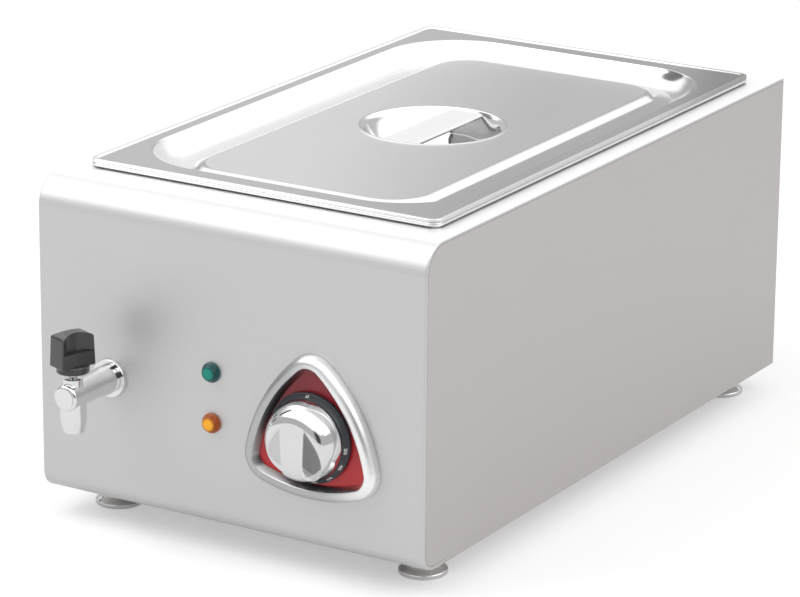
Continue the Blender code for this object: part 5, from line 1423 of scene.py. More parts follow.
@dataclass
class Pan(Assembly):
    """The gastronorm pan, of which the rim shows under the lid.

    Attributes:
        body: the moving body.
        half: half of the rim's width and length.
        centre_y: where its middle lies.
        rim_z: the rim's height.
        rim_height: how far the rim's edge hangs down.
        rim_corner: the radius of the rim's corners.
        edge: the radius of the rim's edge.
        lap: the rim's width.
        mouth_bend: the radius between rim and wall.
        corner: the radius of the mouth's corners.
        floor_corner: the radius of the floor's corners.
        depth: the pan's depth.
        shoulder_depth: how deep the stacking shoulder lies.
        shoulder_step: how far it steps in.
        taper: how far the wall leans in.
        floor_bend: the radius between wall and floor.
        sheet: the sheet's thickness.
    """

    body: str = "pan"
    half: Pair = (162.5 * MM, 265 * MM)
    centre_y: float = 310 * MM
    rim_z: float = 290.5 * MM
    rim_height: float = 4.2 * MM
    rim_corner: float = 9 * MM
    edge: float = 1.2 * MM
    lap: float = 11 * MM
    mouth_bend: float = 3 * MM
    corner: float = 50 * MM
    floor_corner: float = 42 * MM
    depth: float = 150 * MM
    shoulder_depth: float = 22 * MM
    shoulder_step: float = 1.8 * MM
    taper: float = 12 * MM
    floor_bend: float = 12 * MM
    sheet: float = 0.8 * MM

    def build(self) -> None:
        """Build the pan."""
        place = Matrix.Translation((0, self.centre_y, 0))
        self.add("gn_pan_fine", self.shape(), PAN_STEEL, ["gn_pan"], "polished_steel", place)

    def loop(self, inset: float, corner: float, height: float) -> Loop:
        """One loop, set in from the rim."""
        return Loop((self.half[0] - inset, self.half[1] - inset), corner, height)

    def shape(self) -> Shape:
        """Rim, mouth, stacking shoulder, tapered walls and floor.

        Returns:
            The closed mesh.
        """
        bm = bmesh.new()
        low, tuck = self.rim_z - self.rim_height, self.edge
        edge = [self.loop(tuck, self.rim_corner - tuck, low), self.loop(0, self.rim_corner, low + tuck)]
        for out, rise in bend((self.edge, -self.edge), self.edge, math.pi, RIGHT_ANGLE, 4):
            edge.append(self.loop(out, self.rim_corner - out, self.rim_z + rise))
        inset, drop = self.lap - self.mouth_bend, self.rim_z - self.mouth_bend
        walls = [
            self.loop(inset + out, self.corner - out, drop + rise)
            for out, rise in bend((0, 0), self.mouth_bend, RIGHT_ANGLE, 0, 6)
        ]
        shoulder, step = drop - self.shoulder_depth, self.lap + self.shoulder_step
        corner = self.corner - self.mouth_bend
        walls.append(self.loop(self.lap, corner, shoulder))
        walls.append(self.loop(step, corner - self.shoulder_step, shoulder - self.shoulder_step))
        floor = self.rim_z - self.depth
        turn = self.floor_bend
        for out, rise in bend((turn, turn), turn, math.pi, 3 * RIGHT_ANGLE, 6):
            walls.append(self.loop(step + self.taper + out, self.floor_corner - out, floor + rise))
        _, rim = swept(bm, edge, 12)
        mouth, end = swept(bm, walls, 12)
        fill_level(bm, rim, mouth)
        fill_level(bm, end)
        faced_up(bm, (0, 0, 1))
        return thickened(bm, self.sheet)


@dataclass
class Lid(Assembly):
    """The pressed lid and the strap across its cup.

    Attributes:
        body: the moving body.
        half: half of the rim's width and length.
        centre_y: where its middle lies.
        rim_corner: the radius of the rim's corners.
        skirt_z: the height of the rim's lower end.
        top_z: the height of the edge bead.
        bead_edge: the radius of the bead's edge.
        bead_width: the bead's width.
        bead_step: how far the flange lies below the bead.
        flange: the flange's width with the bead.
        flange_end: how much wider the flange is at its ends.
        recess_depth: how deep the recess is.
        recess_corner: the radius of its corners.
        recess_slope: how far one share of its wall leans in.
        wall_shares: pairs of share inwards and share of the depth.
        plateau_margin: how far the raised middle lies from the rim.
        plateau_end: how much further at its ends.
        plateau_rise: how far it rises.
        plateau_slope: how wide its slope is.
        plateau_corner: the radius of its corners.
        plateau_shares: pairs of share inwards and share of the rise.
        cup_radius: the cup's radius.
        lip_width: how wide the cup's rolled lip is.
        lip_height: how far the lip stands up.
        lip_shares: pairs of share outwards and share of the lip's height.
        cup_depth: how deep the cup is.
        cup_floor: the radius of its floor.
        cup_shares: pairs of share inwards and share of the depth.
        sheet: the sheet's thickness.
        strap_width: the strap's width.
        strap_bend: the radius of its edges.
        strap_hem: how far its edges turn down.
        strap_drop: how far it lies below the raised middle.
        strap_sheet: its thickness.
        end_gap: the gap at its ends.
    """

    body: str = "lid"
    half: Pair = (162.5 * MM, 265 * MM)
    centre_y: float = 310 * MM
    rim_corner: float = 9 * MM
    skirt_z: float = 290.8 * MM
    top_z: float = 293.2 * MM
    bead_edge: float = 0.9 * MM
    bead_width: float = 3.4 * MM
    bead_step: float = 0.9 * MM
    flange: float = 14.5 * MM
    flange_end: float = 5.5 * MM
    recess_depth: float = 12.6 * MM
    recess_corner: float = 70 * MM
    recess_slope: float = 4.2 * MM
    wall_shares: tuple[Pair, ...] = (
        (0, 0), (0.20, 0.04), (0.9, 0.30), (2.2, 0.66), (3.6, 0.88), (5.2, 1.0),
    )
    plateau_margin: float = 51 * MM
    plateau_end: float = -6.5 * MM
    plateau_rise: float = 3.8 * MM
    plateau_slope: float = 10.5 * MM
    plateau_corner: float = 30 * MM
    plateau_shares: tuple[Pair, ...] = ((0, 0), (0.22, 0.14), (0.5, 0.66), (0.72, 0.9), (1, 1))
    cup_radius: float = 59.2 * MM
    lip_width: float = 4 * MM
    lip_height: float = 0.8 * MM
    lip_shares: tuple[Pair, ...] = (
        (1.0, 0.0), (0.86, 0.6), (0.66, 1.0), (0.40, 1.0), (0.25, 0.95), (0.08, 0.45), (0.0, 0.0),
    )
    cup_depth: float = 17.9 * MM
    cup_floor: float = 40 * MM
    cup_shares: tuple[Pair, ...] = (
        (0.10, 0.10), (0.22, 0.32), (0.42, 0.60), (0.66, 0.82), (1.0, 0.95), (1.42, 1.0),
    )
    sheet: float = 0.8 * MM
    strap_width: float = 32 * MM
    strap_bend: float = 1.8 * MM
    strap_hem: float = 3 * MM
    strap_drop: float = 0.4 * MM
    strap_sheet: float = 1.4 * MM
    end_gap: float = 0.7 * MM

    @property
    def plateau_z(self) -> float:
        """Height of the raised middle."""
        return self.top_z - self.bead_step - self.recess_depth + self.plateau_rise

    def build(self) -> None:
        """Build the pressing and its strap."""
        place = Matrix.Translation((0, self.centre_y, 0))
        sharp = math.radians(60)
        self.add("lid_fine", self.pressing(), LID_STEEL, ["lid"], "satin_bezel", place, sharp=sharp)
        self.add("lid_strap_fine", self.strap(), STRAP_STEEL, ["lid_strap"], "polished_steel", place)

    def loop(self, inset: float, corner: float, height: float, end: float = 0.0) -> Loop:
        """One loop, set in from the rim, and further at its ends."""
        return Loop((self.half[0] - inset, self.half[1] - inset - end), corner, height)

    def pressing(self) -> Shape:
        """Beaded edge, flange, recess, raised middle and cup in one sheet.

        Returns:
            The closed mesh.
        """
        bm = bmesh.new()
        edge, width, level = self.bead_edge, self.bead_width, self.top_z - self.bead_step
        rim = [self.loop(0, self.rim_corner, self.skirt_z)]
        for out, rise in bend((edge, -edge), edge, math.pi, RIGHT_ANGLE, 5):
            rim.append(self.loop(out, self.rim_corner - out, self.top_z + rise))
        for share in (0.0, 0.25, 0.5, 0.75, 1.0):
            inset, rise = width + edge * (share - 0.5), self.bead_step * (1 + math.cos(share * math.pi)) / 2
            rim.append(self.loop(inset, self.rim_corner - inset, level + rise))
        walls = []
        for reach, drop in smoothed(self.wall_shares, 4):
            out = self.recess_slope * reach
            walls.append(self.loop(
                self.flange + out, self.recess_corner - out, level - self.recess_depth * drop, self.flange_end
            ))
        channel = level - self.recess_depth
        plateau = []
        for reach, rise in smoothed(self.plateau_shares, 4):
            out = self.plateau_slope * reach
            corner = self.plateau_corner + self.plateau_slope - out
            plateau.append(self.loop(
                self.plateau_margin + out, corner, channel + self.plateau_rise * rise, self.plateau_end
            ))
        top = self.plateau_z
        cup = [(self.cup_radius + self.lip_width * r, top + self.lip_height * h) for r, h in self.lip_shares]
        for inward, drop in smoothed([(0.0, 0.0), *self.cup_shares], 4)[1:]:
            cup.append((self.cup_wall(inward), top - self.cup_depth * drop))
        _, flange_edge = swept(bm, rim, 24)
        recess_edge, recess_end = swept(bm, walls, 24)
        rise_start, rise_end = swept(bm, plateau, 24)
        lip_edge, cup_end = swept_round(bm, cup)
        fill_level(bm, flange_edge, recess_edge)
        fill_level(bm, recess_end, rise_start)
        fill_level(bm, rise_end, lip_edge)
        fill_level(bm, cup_end)
        faced_up(bm, (0, 0, 1))
        return thickened(bm, self.sheet)

    def cup_wall(self, inward: float) -> float:
        """Radius of the cup's wall at a share of the way in."""
        return self.cup_radius - (self.cup_radius - self.cup_floor) * inward

    def strap(self) -> Shape:
        """The strap with its edges turned down, cut to the cup's wall at both ends.

        Returns:
            The closed mesh.
        """
        half, top = self.strap_width / 2, self.plateau_z - self.strap_drop
        bm = bmesh.new()
        bmesh.ops.create_grid(bm, x_segments=1, y_segments=1, size=1.0)
        bmesh.ops.scale(bm, vec=(half, self.cup_radius, 1.0), verts=bm.verts)
        bmesh.ops.translate(bm, vec=(0, 0, top), verts=bm.verts)
        long_edges = [e for e in bm.edges if abs(e.verts[0].co.x - e.verts[1].co.x) < FIT]
        turned_down = bmesh.ops.extrude_edge_only(bm, edges=long_edges)["geom"]
        moved = [item for item in turned_down if isinstance(item, bmesh.types.BMVert)]
        bmesh.ops.translate(bm, vec=(0, 0, -self.strap_hem), verts=moved)
        round_edges(bm, [e for e in long_edges if e.is_valid], self.strap_bend, 6)
        faced_up(bm, (0, 0, 1))
        near, far = self.cup_shares[0], self.cup_shares[1]
        slope = (self.cup_wall(near[0]) - self.cup_wall(far[0])) / (self.cup_depth * (far[1] - near[1]))
        level = self.cup_wall(near[0]) + slope * self.cup_depth * near[1] - self.end_gap
        cone = bar_mesh(
            level - slope * self.cup_depth / 2, (0, 0, self.plateau_z - self.cup_depth / 2),
            (0, 0, self.plateau_z + OVER), 192, level + slope * OVER,
        )
        return carve(thickened(bm, self.strap_sheet), [cone], "INTERSECT")


@dataclass
class Feet(Assembly):
    """Four turned feet, each with its stud.

    Attributes:
        places: name, X and Y of each foot.
        height: the feet's height.
        radius: the radius at the floor.
        neck: the radius at the top.
        stud: the stud's radius and height.
        edge: the chamfer at the floor.
        shares: pairs of radius and height, as shares.
    """

    places: tuple[tuple[str, float, float], ...] = (
        ("front_left", -145.5 * MM, 57.4 * MM), ("front_right", 145.5 * MM, 57.4 * MM),
        ("rear_left", -145.5 * MM, 572 * MM), ("rear_right", 145.5 * MM, 572 * MM),
    )
    height: float = 22 * MM
    radius: float = 19.8 * MM
    neck: float = 12.5 * MM
    stud: Pair = (4 * MM, 11 * MM)
    edge: float = 0.6 * MM
    shares: tuple[Pair, ...] = (
        (0.72, 0.86), (0.70, 0.60), (0.74, 0.38), (0.90, 0.24), (0.985, 0.17), (1.0, 0.12),
    )

    def build(self) -> None:
        """Turn each foot."""
        top = self.height - FIT
        outer = smoothed([(self.radius * r, top * h) for r, h in self.shares], 5)
        stud, end = self.stud[0], top + self.stud[1]
        profile = [(0, end), (stud, end), (stud, top), (self.neck, top)]
        profile += [*outer, (self.radius, self.edge), (self.radius - self.edge, 0), (0, 0)]
        for name, x, y in self.places:
            place = Matrix.Translation((x, y, 0))
            self.add(f"foot_{name}_fine", spun(profile, 72), CHROME, [f"foot_{name}"], "chrome", place)


@dataclass
class Tap(Assembly):
    """The drain tap's casting, plug and rosette, and the winged knob that turns its ball.

    Attributes:
        x: where the tap lies across the front.
        z: its height.
        stand: how far the spout's axis stands off the front.
        nose: how far the barrel runs on before that axis.
        spout_drop: how far the spout hangs down.
        spout_radius: the spout's radius.
        spout_crown: the height of the round between spout and bonnet.
        tip_radius: the radius at the spout's end.
        tip_length: how long the tapered end is.
        spout_bore: the radius of the spout's bore.
        barrel: the barrel's radius.
        shoulder: the radius beside the rosette.
        bonnet: the radius and height below the knob.
        tail: the radius and length behind the front.
        waterway: the radius of the way through the barrel.
        chamber: the radius of the ball's chamber.
        stem: the stem's radius and height.
        chamfer: the short edges of bonnet, spout and collar.
        slope: the longer edges of spout and collar.
        nose_bevel: the radius of the nose's edge.
        dome: how far the plug's face bulges.
        brim: how far that face laps over the nose.
        rosette: the rosette's radius and height.
        knob_base: where the knob begins above the axis.
        knob_height: the knob's height.
        knob_length: its length.
        knob_thickness: its thickness.
        collar: the collar's radius and height.
        knob_edge: the radius of its edges.
        fin: the thickness above the ledges.
        ledge_rise: how high the ledges lie.
        ledge_edge: the radius of their edges.
        arch: how far the top bulges.
        taper: how much shorter the knob is at its top, on each side.
        rest_turn: how far it is turned at rest.
    """

    x: float = -112 * MM
    z: float = 130 * MM
    stand: float = 50 * MM
    nose: float = 11.8 * MM
    spout_drop: float = 30 * MM
    spout_radius: float = 10.5 * MM
    spout_crown: float = 3.1 * MM
    tip_radius: float = 8.7 * MM
    tip_length: float = 10 * MM
    spout_bore: float = 5.8 * MM
    barrel: float = 10.8 * MM
    shoulder: float = 11.9 * MM
    bonnet: Pair = (7.8 * MM, 14.5 * MM)
    tail: Pair = (6.6 * MM, 26 * MM)
    waterway: float = 4.2 * MM
    chamber: float = 7.4 * MM
    stem: Pair = (3.2 * MM, 34 * MM)
    chamfer: float = 0.5 * MM
    slope: float = 0.8 * MM
    nose_bevel: float = 2.6 * MM
    dome: float = 0.7 * MM
    brim: float = 0.8 * MM
    rosette: Pair = (15.8 * MM, 2.8 * MM)
    knob_base: float = 19.6 * MM
    knob_height: float = 33.2 * MM
    knob_length: float = 31.6 * MM
    knob_thickness: float = 19.2 * MM
    collar: Pair = (13.2 * MM, 5.2 * MM)
    knob_edge: float = 1.5 * MM
    fin: float = 9.4 * MM
    ledge_rise: float = 12.2 * MM
    ledge_edge: float = 0.7 * MM
    arch: float = 3.2 * MM
    taper: float = 1.2 * MM
    rest_turn: float = math.radians(-20)

    def build(self) -> None:
        """Build the casting, its fittings and the knob."""
        outward = turned_to((self.x, 0, self.z), (RIGHT_ANGLE, 0, 0))
        axis = Matrix.Translation((self.x, -self.stand, self.z))
        self.add("tap_body_fine", self.casting(), CHROME, ["tap_body"], "chrome", axis)
        plug, nose, brim = self.chamber - FIT, self.stand + self.nose, self.chamber + self.brim
        cap = [(0, nose + self.dome), (brim * 0.5, nose + self.dome * 0.75), (brim, nose + FIT)]
        cap = smoothed(cap, 5) + [(plug, nose + FIT), (plug, nose - self.dome)]
        cap += [(plug, self.stand + self.chamber), (0, self.stand + self.chamber)]
        self.add("tap_end_cap_fine", spun(cap, 64), CHROME, ["tap_end_cap"], "chrome", outward)
        radius, height = self.rosette
        flat, side, bore = radius * 0.80, FIT + height * 0.42, self.tail[0] + FIT
        rose = [(bore, FIT + height), (flat, FIT + height)]
        rose += bend((flat, side), radius - flat, RIGHT_ANGLE, 0, 8)[1:-1]
        rose = [(r, min(h, FIT + height)) for r, h in rose]
        rose += [(radius, side), (radius, FIT), (bore, FIT)]
        self.add("tap_rosette_fine", spun(rose, 96, ring=True), CHROME, ["tap_rosette"], "chrome", outward)
        turned_axis = axis @ Matrix.Rotation(self.rest_turn, 4, "Z")
        self.add(
            "tap_knob_fine", self.knob(), BLACK, ["tap_knob"], "black_plastic", turned_axis, body="tap_valve"
        )

    def casting(self) -> Shape:
        """Spout and bonnet, with the barrel joined on and the waterway bored.

        Returns:
            The closed mesh.
        """
        tip, (bonnet, crown) = self.tip_length - self.spout_drop, self.bonnet
        spout = [(0, crown), (bonnet - self.chamfer, crown), (bonnet, crown - self.chamfer)]
        spout += [(bonnet, self.spout_crown * 2)]
        spout += bend((bonnet, self.spout_crown), self.spout_radius - bonnet, RIGHT_ANGLE, 0, 6)
        spout += [(self.spout_radius, tip), (self.tip_radius, self.slope - self.spout_drop)]
        spout += [(self.tip_radius - self.chamfer, -self.spout_drop), (0, -self.spout_drop)]
        seat, nose = self.rosette[1] + 2 * FIT, self.stand + self.nose
        barrel = [(0, nose), (self.barrel - self.nose_bevel, nose)]
        edge = (self.barrel - self.nose_bevel, nose - self.nose_bevel)
        barrel += bend(edge, self.nose_bevel, RIGHT_ANGLE, 0, 5)[1:]
        barrel += smoothed([
            (self.barrel, self.stand - 2 * self.barrel), (self.barrel * 1.03, seat + self.shoulder * 1.25),
            (self.shoulder, seat + self.shoulder / 2), (self.shoulder, seat),
        ], 6)
        barrel += [(self.tail[0], seat), (self.tail[0], -self.tail[1]), (0, -self.tail[1])]
        chamber = [(0, self.nose + OVER), (self.chamber, self.nose + OVER)]
        chamber += bend((0, 0), self.chamber, 0, -RIGHT_ANGLE, 12)
        forward = Matrix.Rotation(RIGHT_ANGLE, 4, "X")
        back = Matrix.Translation((0, self.stand, 0))
        tube, hollow = spun(barrel, 96), spun(chamber[:-1] + [(0, -self.chamber)], 48)
        bmesh.ops.transform(tube, matrix=back @ forward, verts=tube.verts)
        bmesh.ops.transform(hollow, matrix=forward, verts=hollow.verts)
        body = carve(spun(spout, 96), [tube], "UNION")
        bores = [
            hollow, bar_mesh(self.waterway, (0, 0, 0), (0, self.stand + self.tail[1] + OVER, 0)),
            bar_mesh(self.spout_bore, (0, 0, 0), (0, 0, -self.spout_drop - OVER)),
            bar_mesh(self.stem[0] + FIT, (0, 0, 0), (0, 0, crown + OVER)),
        ]
        return carve(body, bores)

    def knob(self) -> Shape:
        """Arched block with a leaf-shaped ledge on both broad sides, on a round collar.

        Returns:
            The closed mesh.
        """
        half, base = self.knob_length / 2, self.knob_base + self.collar[1]
        top, narrow = self.knob_base + self.knob_height, self.knob_length / 2 - self.taper
        radius = (narrow ** 2 + self.arch ** 2) / (2 * self.arch)
        spread = math.asin(narrow / radius)
        crown = bend((0, top - radius), radius, RIGHT_ANGLE - spread, RIGHT_ANGLE + spread, 16)
        bm = prism([(-half, base), (half, base), *crown], self.knob_thickness)
        stand = Matrix.Rotation(RIGHT_ANGLE, 4, "Z") @ Matrix.Rotation(RIGHT_ANGLE, 4, "X")
        bmesh.ops.transform(bm, matrix=stand, verts=bm.verts)
        corners = [e for e in bm.edges if e.calc_face_angle(0) > math.radians(30)]
        round_edges(bm, corners, self.knob_edge, 4)
        wide, low = self.collar[0], self.knob_base
        collar = [(0, low), (wide - self.chamfer, low), (wide, low + self.chamfer)]
        collar += [(wide, base), (wide - self.slope, base + self.slope), (0, base + 2 * self.knob_edge)]
        body = carve(bm, [spun(collar, 96)], "UNION")
        depth, reach = (self.knob_thickness - self.fin) / 2, narrow
        scoop = (reach ** 2 + depth ** 2) / (2 * depth)
        ledge, out = base + self.ledge_rise, self.fin / 2 + scoop
        cuts = [bar_mesh(scoop, (x, 0, ledge), (x, 0, top + OVER), 192) for x in (-out, out)]
        cuts.append(bar_mesh(self.stem[0] + FIT, (0, 0, 0), (0, 0, self.stem[1] + FIT)))
        worked, near, side = carve(body, cuts), 5 * NEAR, self.knob_thickness / 2
        rims = [
            e for e in worked.edges
            if all(abs(v.co.z - ledge) < near and abs(abs(v.co.x) - side) < near for v in e.verts)
        ]
        round_edges(worked, rims, self.ledge_edge, 4)
        return worked


@dataclass
class Control(Assembly):
    """Bezel, numbered skirt and scooped knob of the thermostat.

    Attributes:
        x: where the knob's axis lies across the front.
        z: its height.
        corner_reach: how far the corners' centres lie from the axis.
        corner_radius: the radius of the corners.
        side_reach: how far the sides lie from the axis.
        ring: the width of the bezel's ring.
        height: how far the bezel stands up.
        floor: the height of its inner edge's lower end.
        ledge: the width of the ledge over the plate.
        plate: the height and thickness of the red plate.
        wall: the bezel's thickness.
        profile: pairs of share inwards and share of the height.
        dial_radius: the skirt's radius.
        dial_back: how far the skirt's back lies off the front.
        dial_height: the skirt's height.
        dial_wall: its thickness.
        dial_shoulder: how far its flat reaches beyond the cap.
        dial_slope: how far its ring slopes down.
        dial_lip: the radius of its edge.
        hub: the hub's radius and height.
        spindle: the spindle's radius.
        cap_radius: the cap's radius.
        cap_height: how far the cap stands up.
        cap_bore: how deep its bore is.
        cap_profile: pairs of radius and height, as shares.
        crease: how far off the axis and below the head each scoop's crease lies.
        groove: the section of a scoop, from its crease.
        groove_tilt: how far the scoops lean back.
        groove_edge: the radius of their edges.
        groove_sharp: the angle from which an edge is rounded.
        groove_start: how high above the cap's back the rounded edges begin.
        marks: each number and its place, in degrees.
        mark_size: the size of the numbers.
        mark_depth: how far they stand up.
        mark_bold: how much their strokes are widened.
        mark_height: how much lower than usual they are.
    """

    x: float = 80.5 * MM
    z: float = 118 * MM
    corner_reach: float = 43.5 * MM
    corner_radius: float = 23 * MM
    side_reach: float = 51 * MM
    ring: float = 12.8 * MM
    height: float = 10.6 * MM
    floor: float = 4.4 * MM
    ledge: float = 2.6 * MM
    plate: Pair = (2.5 * MM, 0.8 * MM)
    wall: float = 1.8 * MM
    profile: tuple[Pair, ...] = (
        (0.0, 0.30), (0.05, 0.56), (0.16, 0.80), (0.34, 0.95), (0.52, 1.0), (0.68, 0.985), (0.74, 0.93),
    )
    dial_radius: float = 36.8 * MM
    dial_back: float = 4.4 * MM
    dial_height: float = 7.8 * MM
    dial_wall: float = 2 * MM
    dial_shoulder: float = 0.6 * MM
    dial_slope: float = 4.4 * MM
    dial_lip: float = 0.8 * MM
    hub: Pair = (8.6 * MM, 7 * MM)
    spindle: float = 3 * MM
    cap_radius: float = 33 * MM
    cap_height: float = 20.5 * MM
    cap_bore: float = 14.5 * MM
    cap_profile: tuple[Pair, ...] = (
        (0.0, 1.0), (0.42, 0.99), (0.62, 0.955), (0.76, 0.86), (0.86, 0.68), (0.93, 0.44), (0.98, 0.18),
        (1.0, 0.04),
    )
    crease: Pair = (11 * MM, -6 * MM)
    groove: tuple[Pair, ...] = ((0, 0), (24 * MM, 8.6 * MM), (24 * MM, 26 * MM), (-3.4 * MM, 26 * MM))
    groove_tilt: float = math.radians(18)
    groove_edge: float = 0.35 * MM
    groove_sharp: float = math.radians(14)
    groove_start: float = 3 * MM
    marks: tuple[tuple[str, float], ...] = (
        ("0", 0.0), ("30", 95.0), ("40", 119.5), ("50", 144.0), ("60", 168.5), ("70", 193.0), ("80", 217.5),
        ("90", 242.0),
    )
    mark_size: float = 5.6 * MM
    mark_depth: float = 0.04 * MM
    mark_bold: float = 0.12 * MM
    mark_height: float = 0.72

    def build(self) -> None:
        """Build the bezel, the skirt with its numbers, and the knob."""
        outward = turned_to((self.x, 0, self.z), (RIGHT_ANGLE, 0, 0))
        self.add("control_bezel_fine", self.bezel(), SATIN, ["control_bezel"], "satin_bezel", outward)
        self.add(
            "dial_skirt_fine", self.skirt(), DIAL_BLACK, ["dial_skirt"], "dial_black", outward, body="dial"
        )
        self.add(
            "control_knob_fine", self.knob(), CAP_CHROME, ["control_knob"], "chrome", outward, body="dial",
            sharp=math.radians(28),
        )
        self.add("dial_numbers", self.numbers(), DIAL_PRINT, [], "", outward, body="dial", weigh=False)

    def outline(self, inset: float) -> list[Pair]:
        """Points round the three-cornered bezel, its apex up, at one inset.

        Args:
            inset: how far the outline lies inside the bezel's edge.

        Returns:
            The points, counterclockwise.
        """
        reach, c, third = self.side_reach - self.corner_radius, self.corner_reach, FULL_TURN / 3
        back_off = (c ** 2 - reach ** 2) / (2 * reach - c)
        span = math.atan(c * math.sin(math.pi / 3) / (c / 2 + back_off))
        points: list[Pair] = []
        for corner in range(3):
            facing = RIGHT_ANGLE + corner * third
            centre = (c * math.cos(facing), c * math.sin(facing))
            turns = (facing - third / 2 + span, facing + third / 2 - span)
            points += bend(centre, self.corner_radius - inset, *turns, 28)
            side = facing + third / 2
            centre = (-back_off * math.cos(side), -back_off * math.sin(side))
            points += bend(centre, back_off + self.side_reach - inset, side - span, side + span, 16)[1:-1]
        return points

    def bezel(self) -> Shape:
        """The hollow ring with a domed face, a plate ledge and a channel behind.

        Returns:
            The closed mesh.
        """
        rows = [(0.0, FIT)] + smoothed([(self.ring * s, self.height * h) for s, h in self.profile], 5)
        inner, ledge = self.ring - self.ledge, sum(self.plate) + FIT
        rows += [(self.ring, self.floor), (self.ring, ledge), (inner, ledge), (inner, FIT)]
        rows += [(inner - self.wall, FIT), (inner - self.wall * 1.25, self.height - self.wall)]
        rows += [(self.wall * 1.5, self.height - 2 * self.wall), (self.wall, FIT)]
        bm = bmesh.new()
        carried(bm, self.outline, [*rows, rows[0]])
        bmesh.ops.remove_doubles(bm, verts=bm.verts, dist=0.002 * MM)
        bmesh.ops.recalc_face_normals(bm, faces=bm.faces)
        return bm

    def skirt(self) -> Shape:
        """The skirt with its sloped ring, and the hub on the spindle.

        Returns:
            The closed mesh.
        """
        bore, top, base = self.spindle + FIT, self.dial_back + self.dial_height, self.dial_back
        flat, under, lip = self.cap_radius + self.dial_shoulder, top - self.dial_wall, self.dial_lip
        edge = bend((self.dial_radius - lip, top - self.dial_slope - lip), lip, RIGHT_ANGLE, 0, 6)
        inner = self.dial_radius - self.dial_wall
        rows = [(bore, top), (flat, top), *edge, (self.dial_radius, base), (inner, base)]
        rows += [(inner, under - self.dial_slope - lip), (flat - self.dial_wall / 2, under)]
        rows += [(self.hub[0], under), (self.hub[0], under - self.hub[1]), (bore, under - self.hub[1])]
        return spun(rows, 144, ring=True)

    def knob(self) -> Shape:
        """The domed cap with a creased scoop on either side of its bar.

        Returns:
            The closed mesh.
        """
        back = self.dial_back + self.dial_height + FIT
        head, bore = back + self.cap_height, self.spindle + FIT
        rows = smoothed([(self.cap_radius * r, back + self.cap_height * h) for r, h in self.cap_profile], 6)
        deep = back + self.cap_bore
        rows += [(self.cap_radius, back), (bore, back), (bore, deep), (0, deep)]
        scoops = []
        for side in (-1, 1):
            scoop = prism([(side * x, y) for x, y in self.groove], 4 * self.cap_radius)
            lean = (RIGHT_ANGLE + self.groove_tilt, 0, 0)
            place = turned_to((side * self.crease[0], 0, head + self.crease[1]), lean)
            bmesh.ops.transform(scoop, matrix=place, verts=scoop.verts)
            scoops.append(scoop)
        worked = carve(spun(rows, 144), scoops)
        low = back + self.groove_start
        crisp = [
            e for e in worked.edges
            if e.calc_face_angle(0) > self.groove_sharp and min(v.co.z for v in e.verts) > low
        ]
        round_edges(worked, crisp, self.groove_edge, 3)
        return worked

    def numbers(self) -> Shape:
        """Plain numbers round the sloped ring of the skirt.

        Returns:
            The mesh of all the numbers.
        """
        flat, top = self.cap_radius + self.dial_shoulder, self.dial_back + self.dial_height
        run, fall = self.dial_radius - self.dial_lip - flat, self.dial_slope
        middle, tilt = (flat + self.dial_radius - self.dial_lip) / 2, math.atan2(fall, run)
        joined = bmesh.new()
        for text, degrees in self.marks:
            curve = bpy.data.curves.new("mark", "FONT")
            curve.body, curve.size, curve.extrude = text, self.mark_size, self.mark_depth
            curve.align_x, curve.align_y, curve.offset = "CENTER", "CENTER", self.mark_bold
            blank = bpy.data.objects.new("mark", curve)
            bpy.context.scene.collection.objects.link(blank)
            bpy.context.view_layer.update()
            mesh = bpy.data.meshes.new_from_object(blank.evaluated_get(bpy.context.evaluated_depsgraph_get()))
            bpy.data.objects.remove(blank, do_unlink=True)
            bpy.data.curves.remove(curve)
            lift = Matrix.Translation((0, middle, top - fall / 2 + 5 * NEAR))
            shrink = Matrix.Rotation(-tilt, 4, "X") @ Matrix.Diagonal((1.0, self.mark_height, 1.0, 1.0))
            mesh.transform(Matrix.Rotation(-math.radians(degrees), 4, "Z") @ lift @ shrink)
            joined.from_mesh(mesh)
            bpy.data.meshes.remove(mesh)
        return joined


@dataclass
class Lamps(Assembly):
    """The two signal lamps' lenses.

    Attributes:
        x: where the lamps lie across the front.
        green_z: the green lamp's height.
        amber_z: the amber lamp's height.
        radius: a lens's radius.
        height: how far a lens stands up.
        shank: the radius and length behind the front.
        shares: pairs of radius and height, as shares.
        brim: the height of the straight edge, as a share.
    """

    x: float = -14.5 * MM
    green_z: float = 152.5 * MM
    amber_z: float = 110.5 * MM
    radius: float = 8.1 * MM
    height: float = 6.2 * MM
    shank: Pair = (5 * MM, 4 * MM)
    shares: tuple[Pair, ...] = ((0.0, 1.0), (0.42, 0.985), (0.66, 0.91), (0.76, 0.78), (0.90, 0.38))
    brim: float = 0.28

    def build(self) -> None:
        """Turn both lenses."""
        green = LampLens("green_lens_plastic", self.green_z, (0.004, 0.230, 0.170), (0.002, 0.055, 0.052))
        amber = LampLens("amber_lens_plastic", self.amber_z, (0.90, 0.40, 0.015), (0.30, 0.060, 0.004))
        rows = smoothed([(self.radius * r, FIT + self.height * h) for r, h in self.shares], 5)
        rows += [(self.radius, FIT + self.height * self.brim), (self.radius, FIT)]
        rows += [(self.shank[0], FIT), (self.shank[0], -self.shank[1]), (0, -self.shank[1])]
        for name, level, finish in (("green", self.green_z, green), ("amber", self.amber_z, amber)):
            place = turned_to((self.x, 0, level), (RIGHT_ANGLE, 0, 0))
            node = f"lamp_lens_{name}"
            self.add(f"{node}_fine", spun(rows, 72), finish, [node], f"{name}_lens", place)


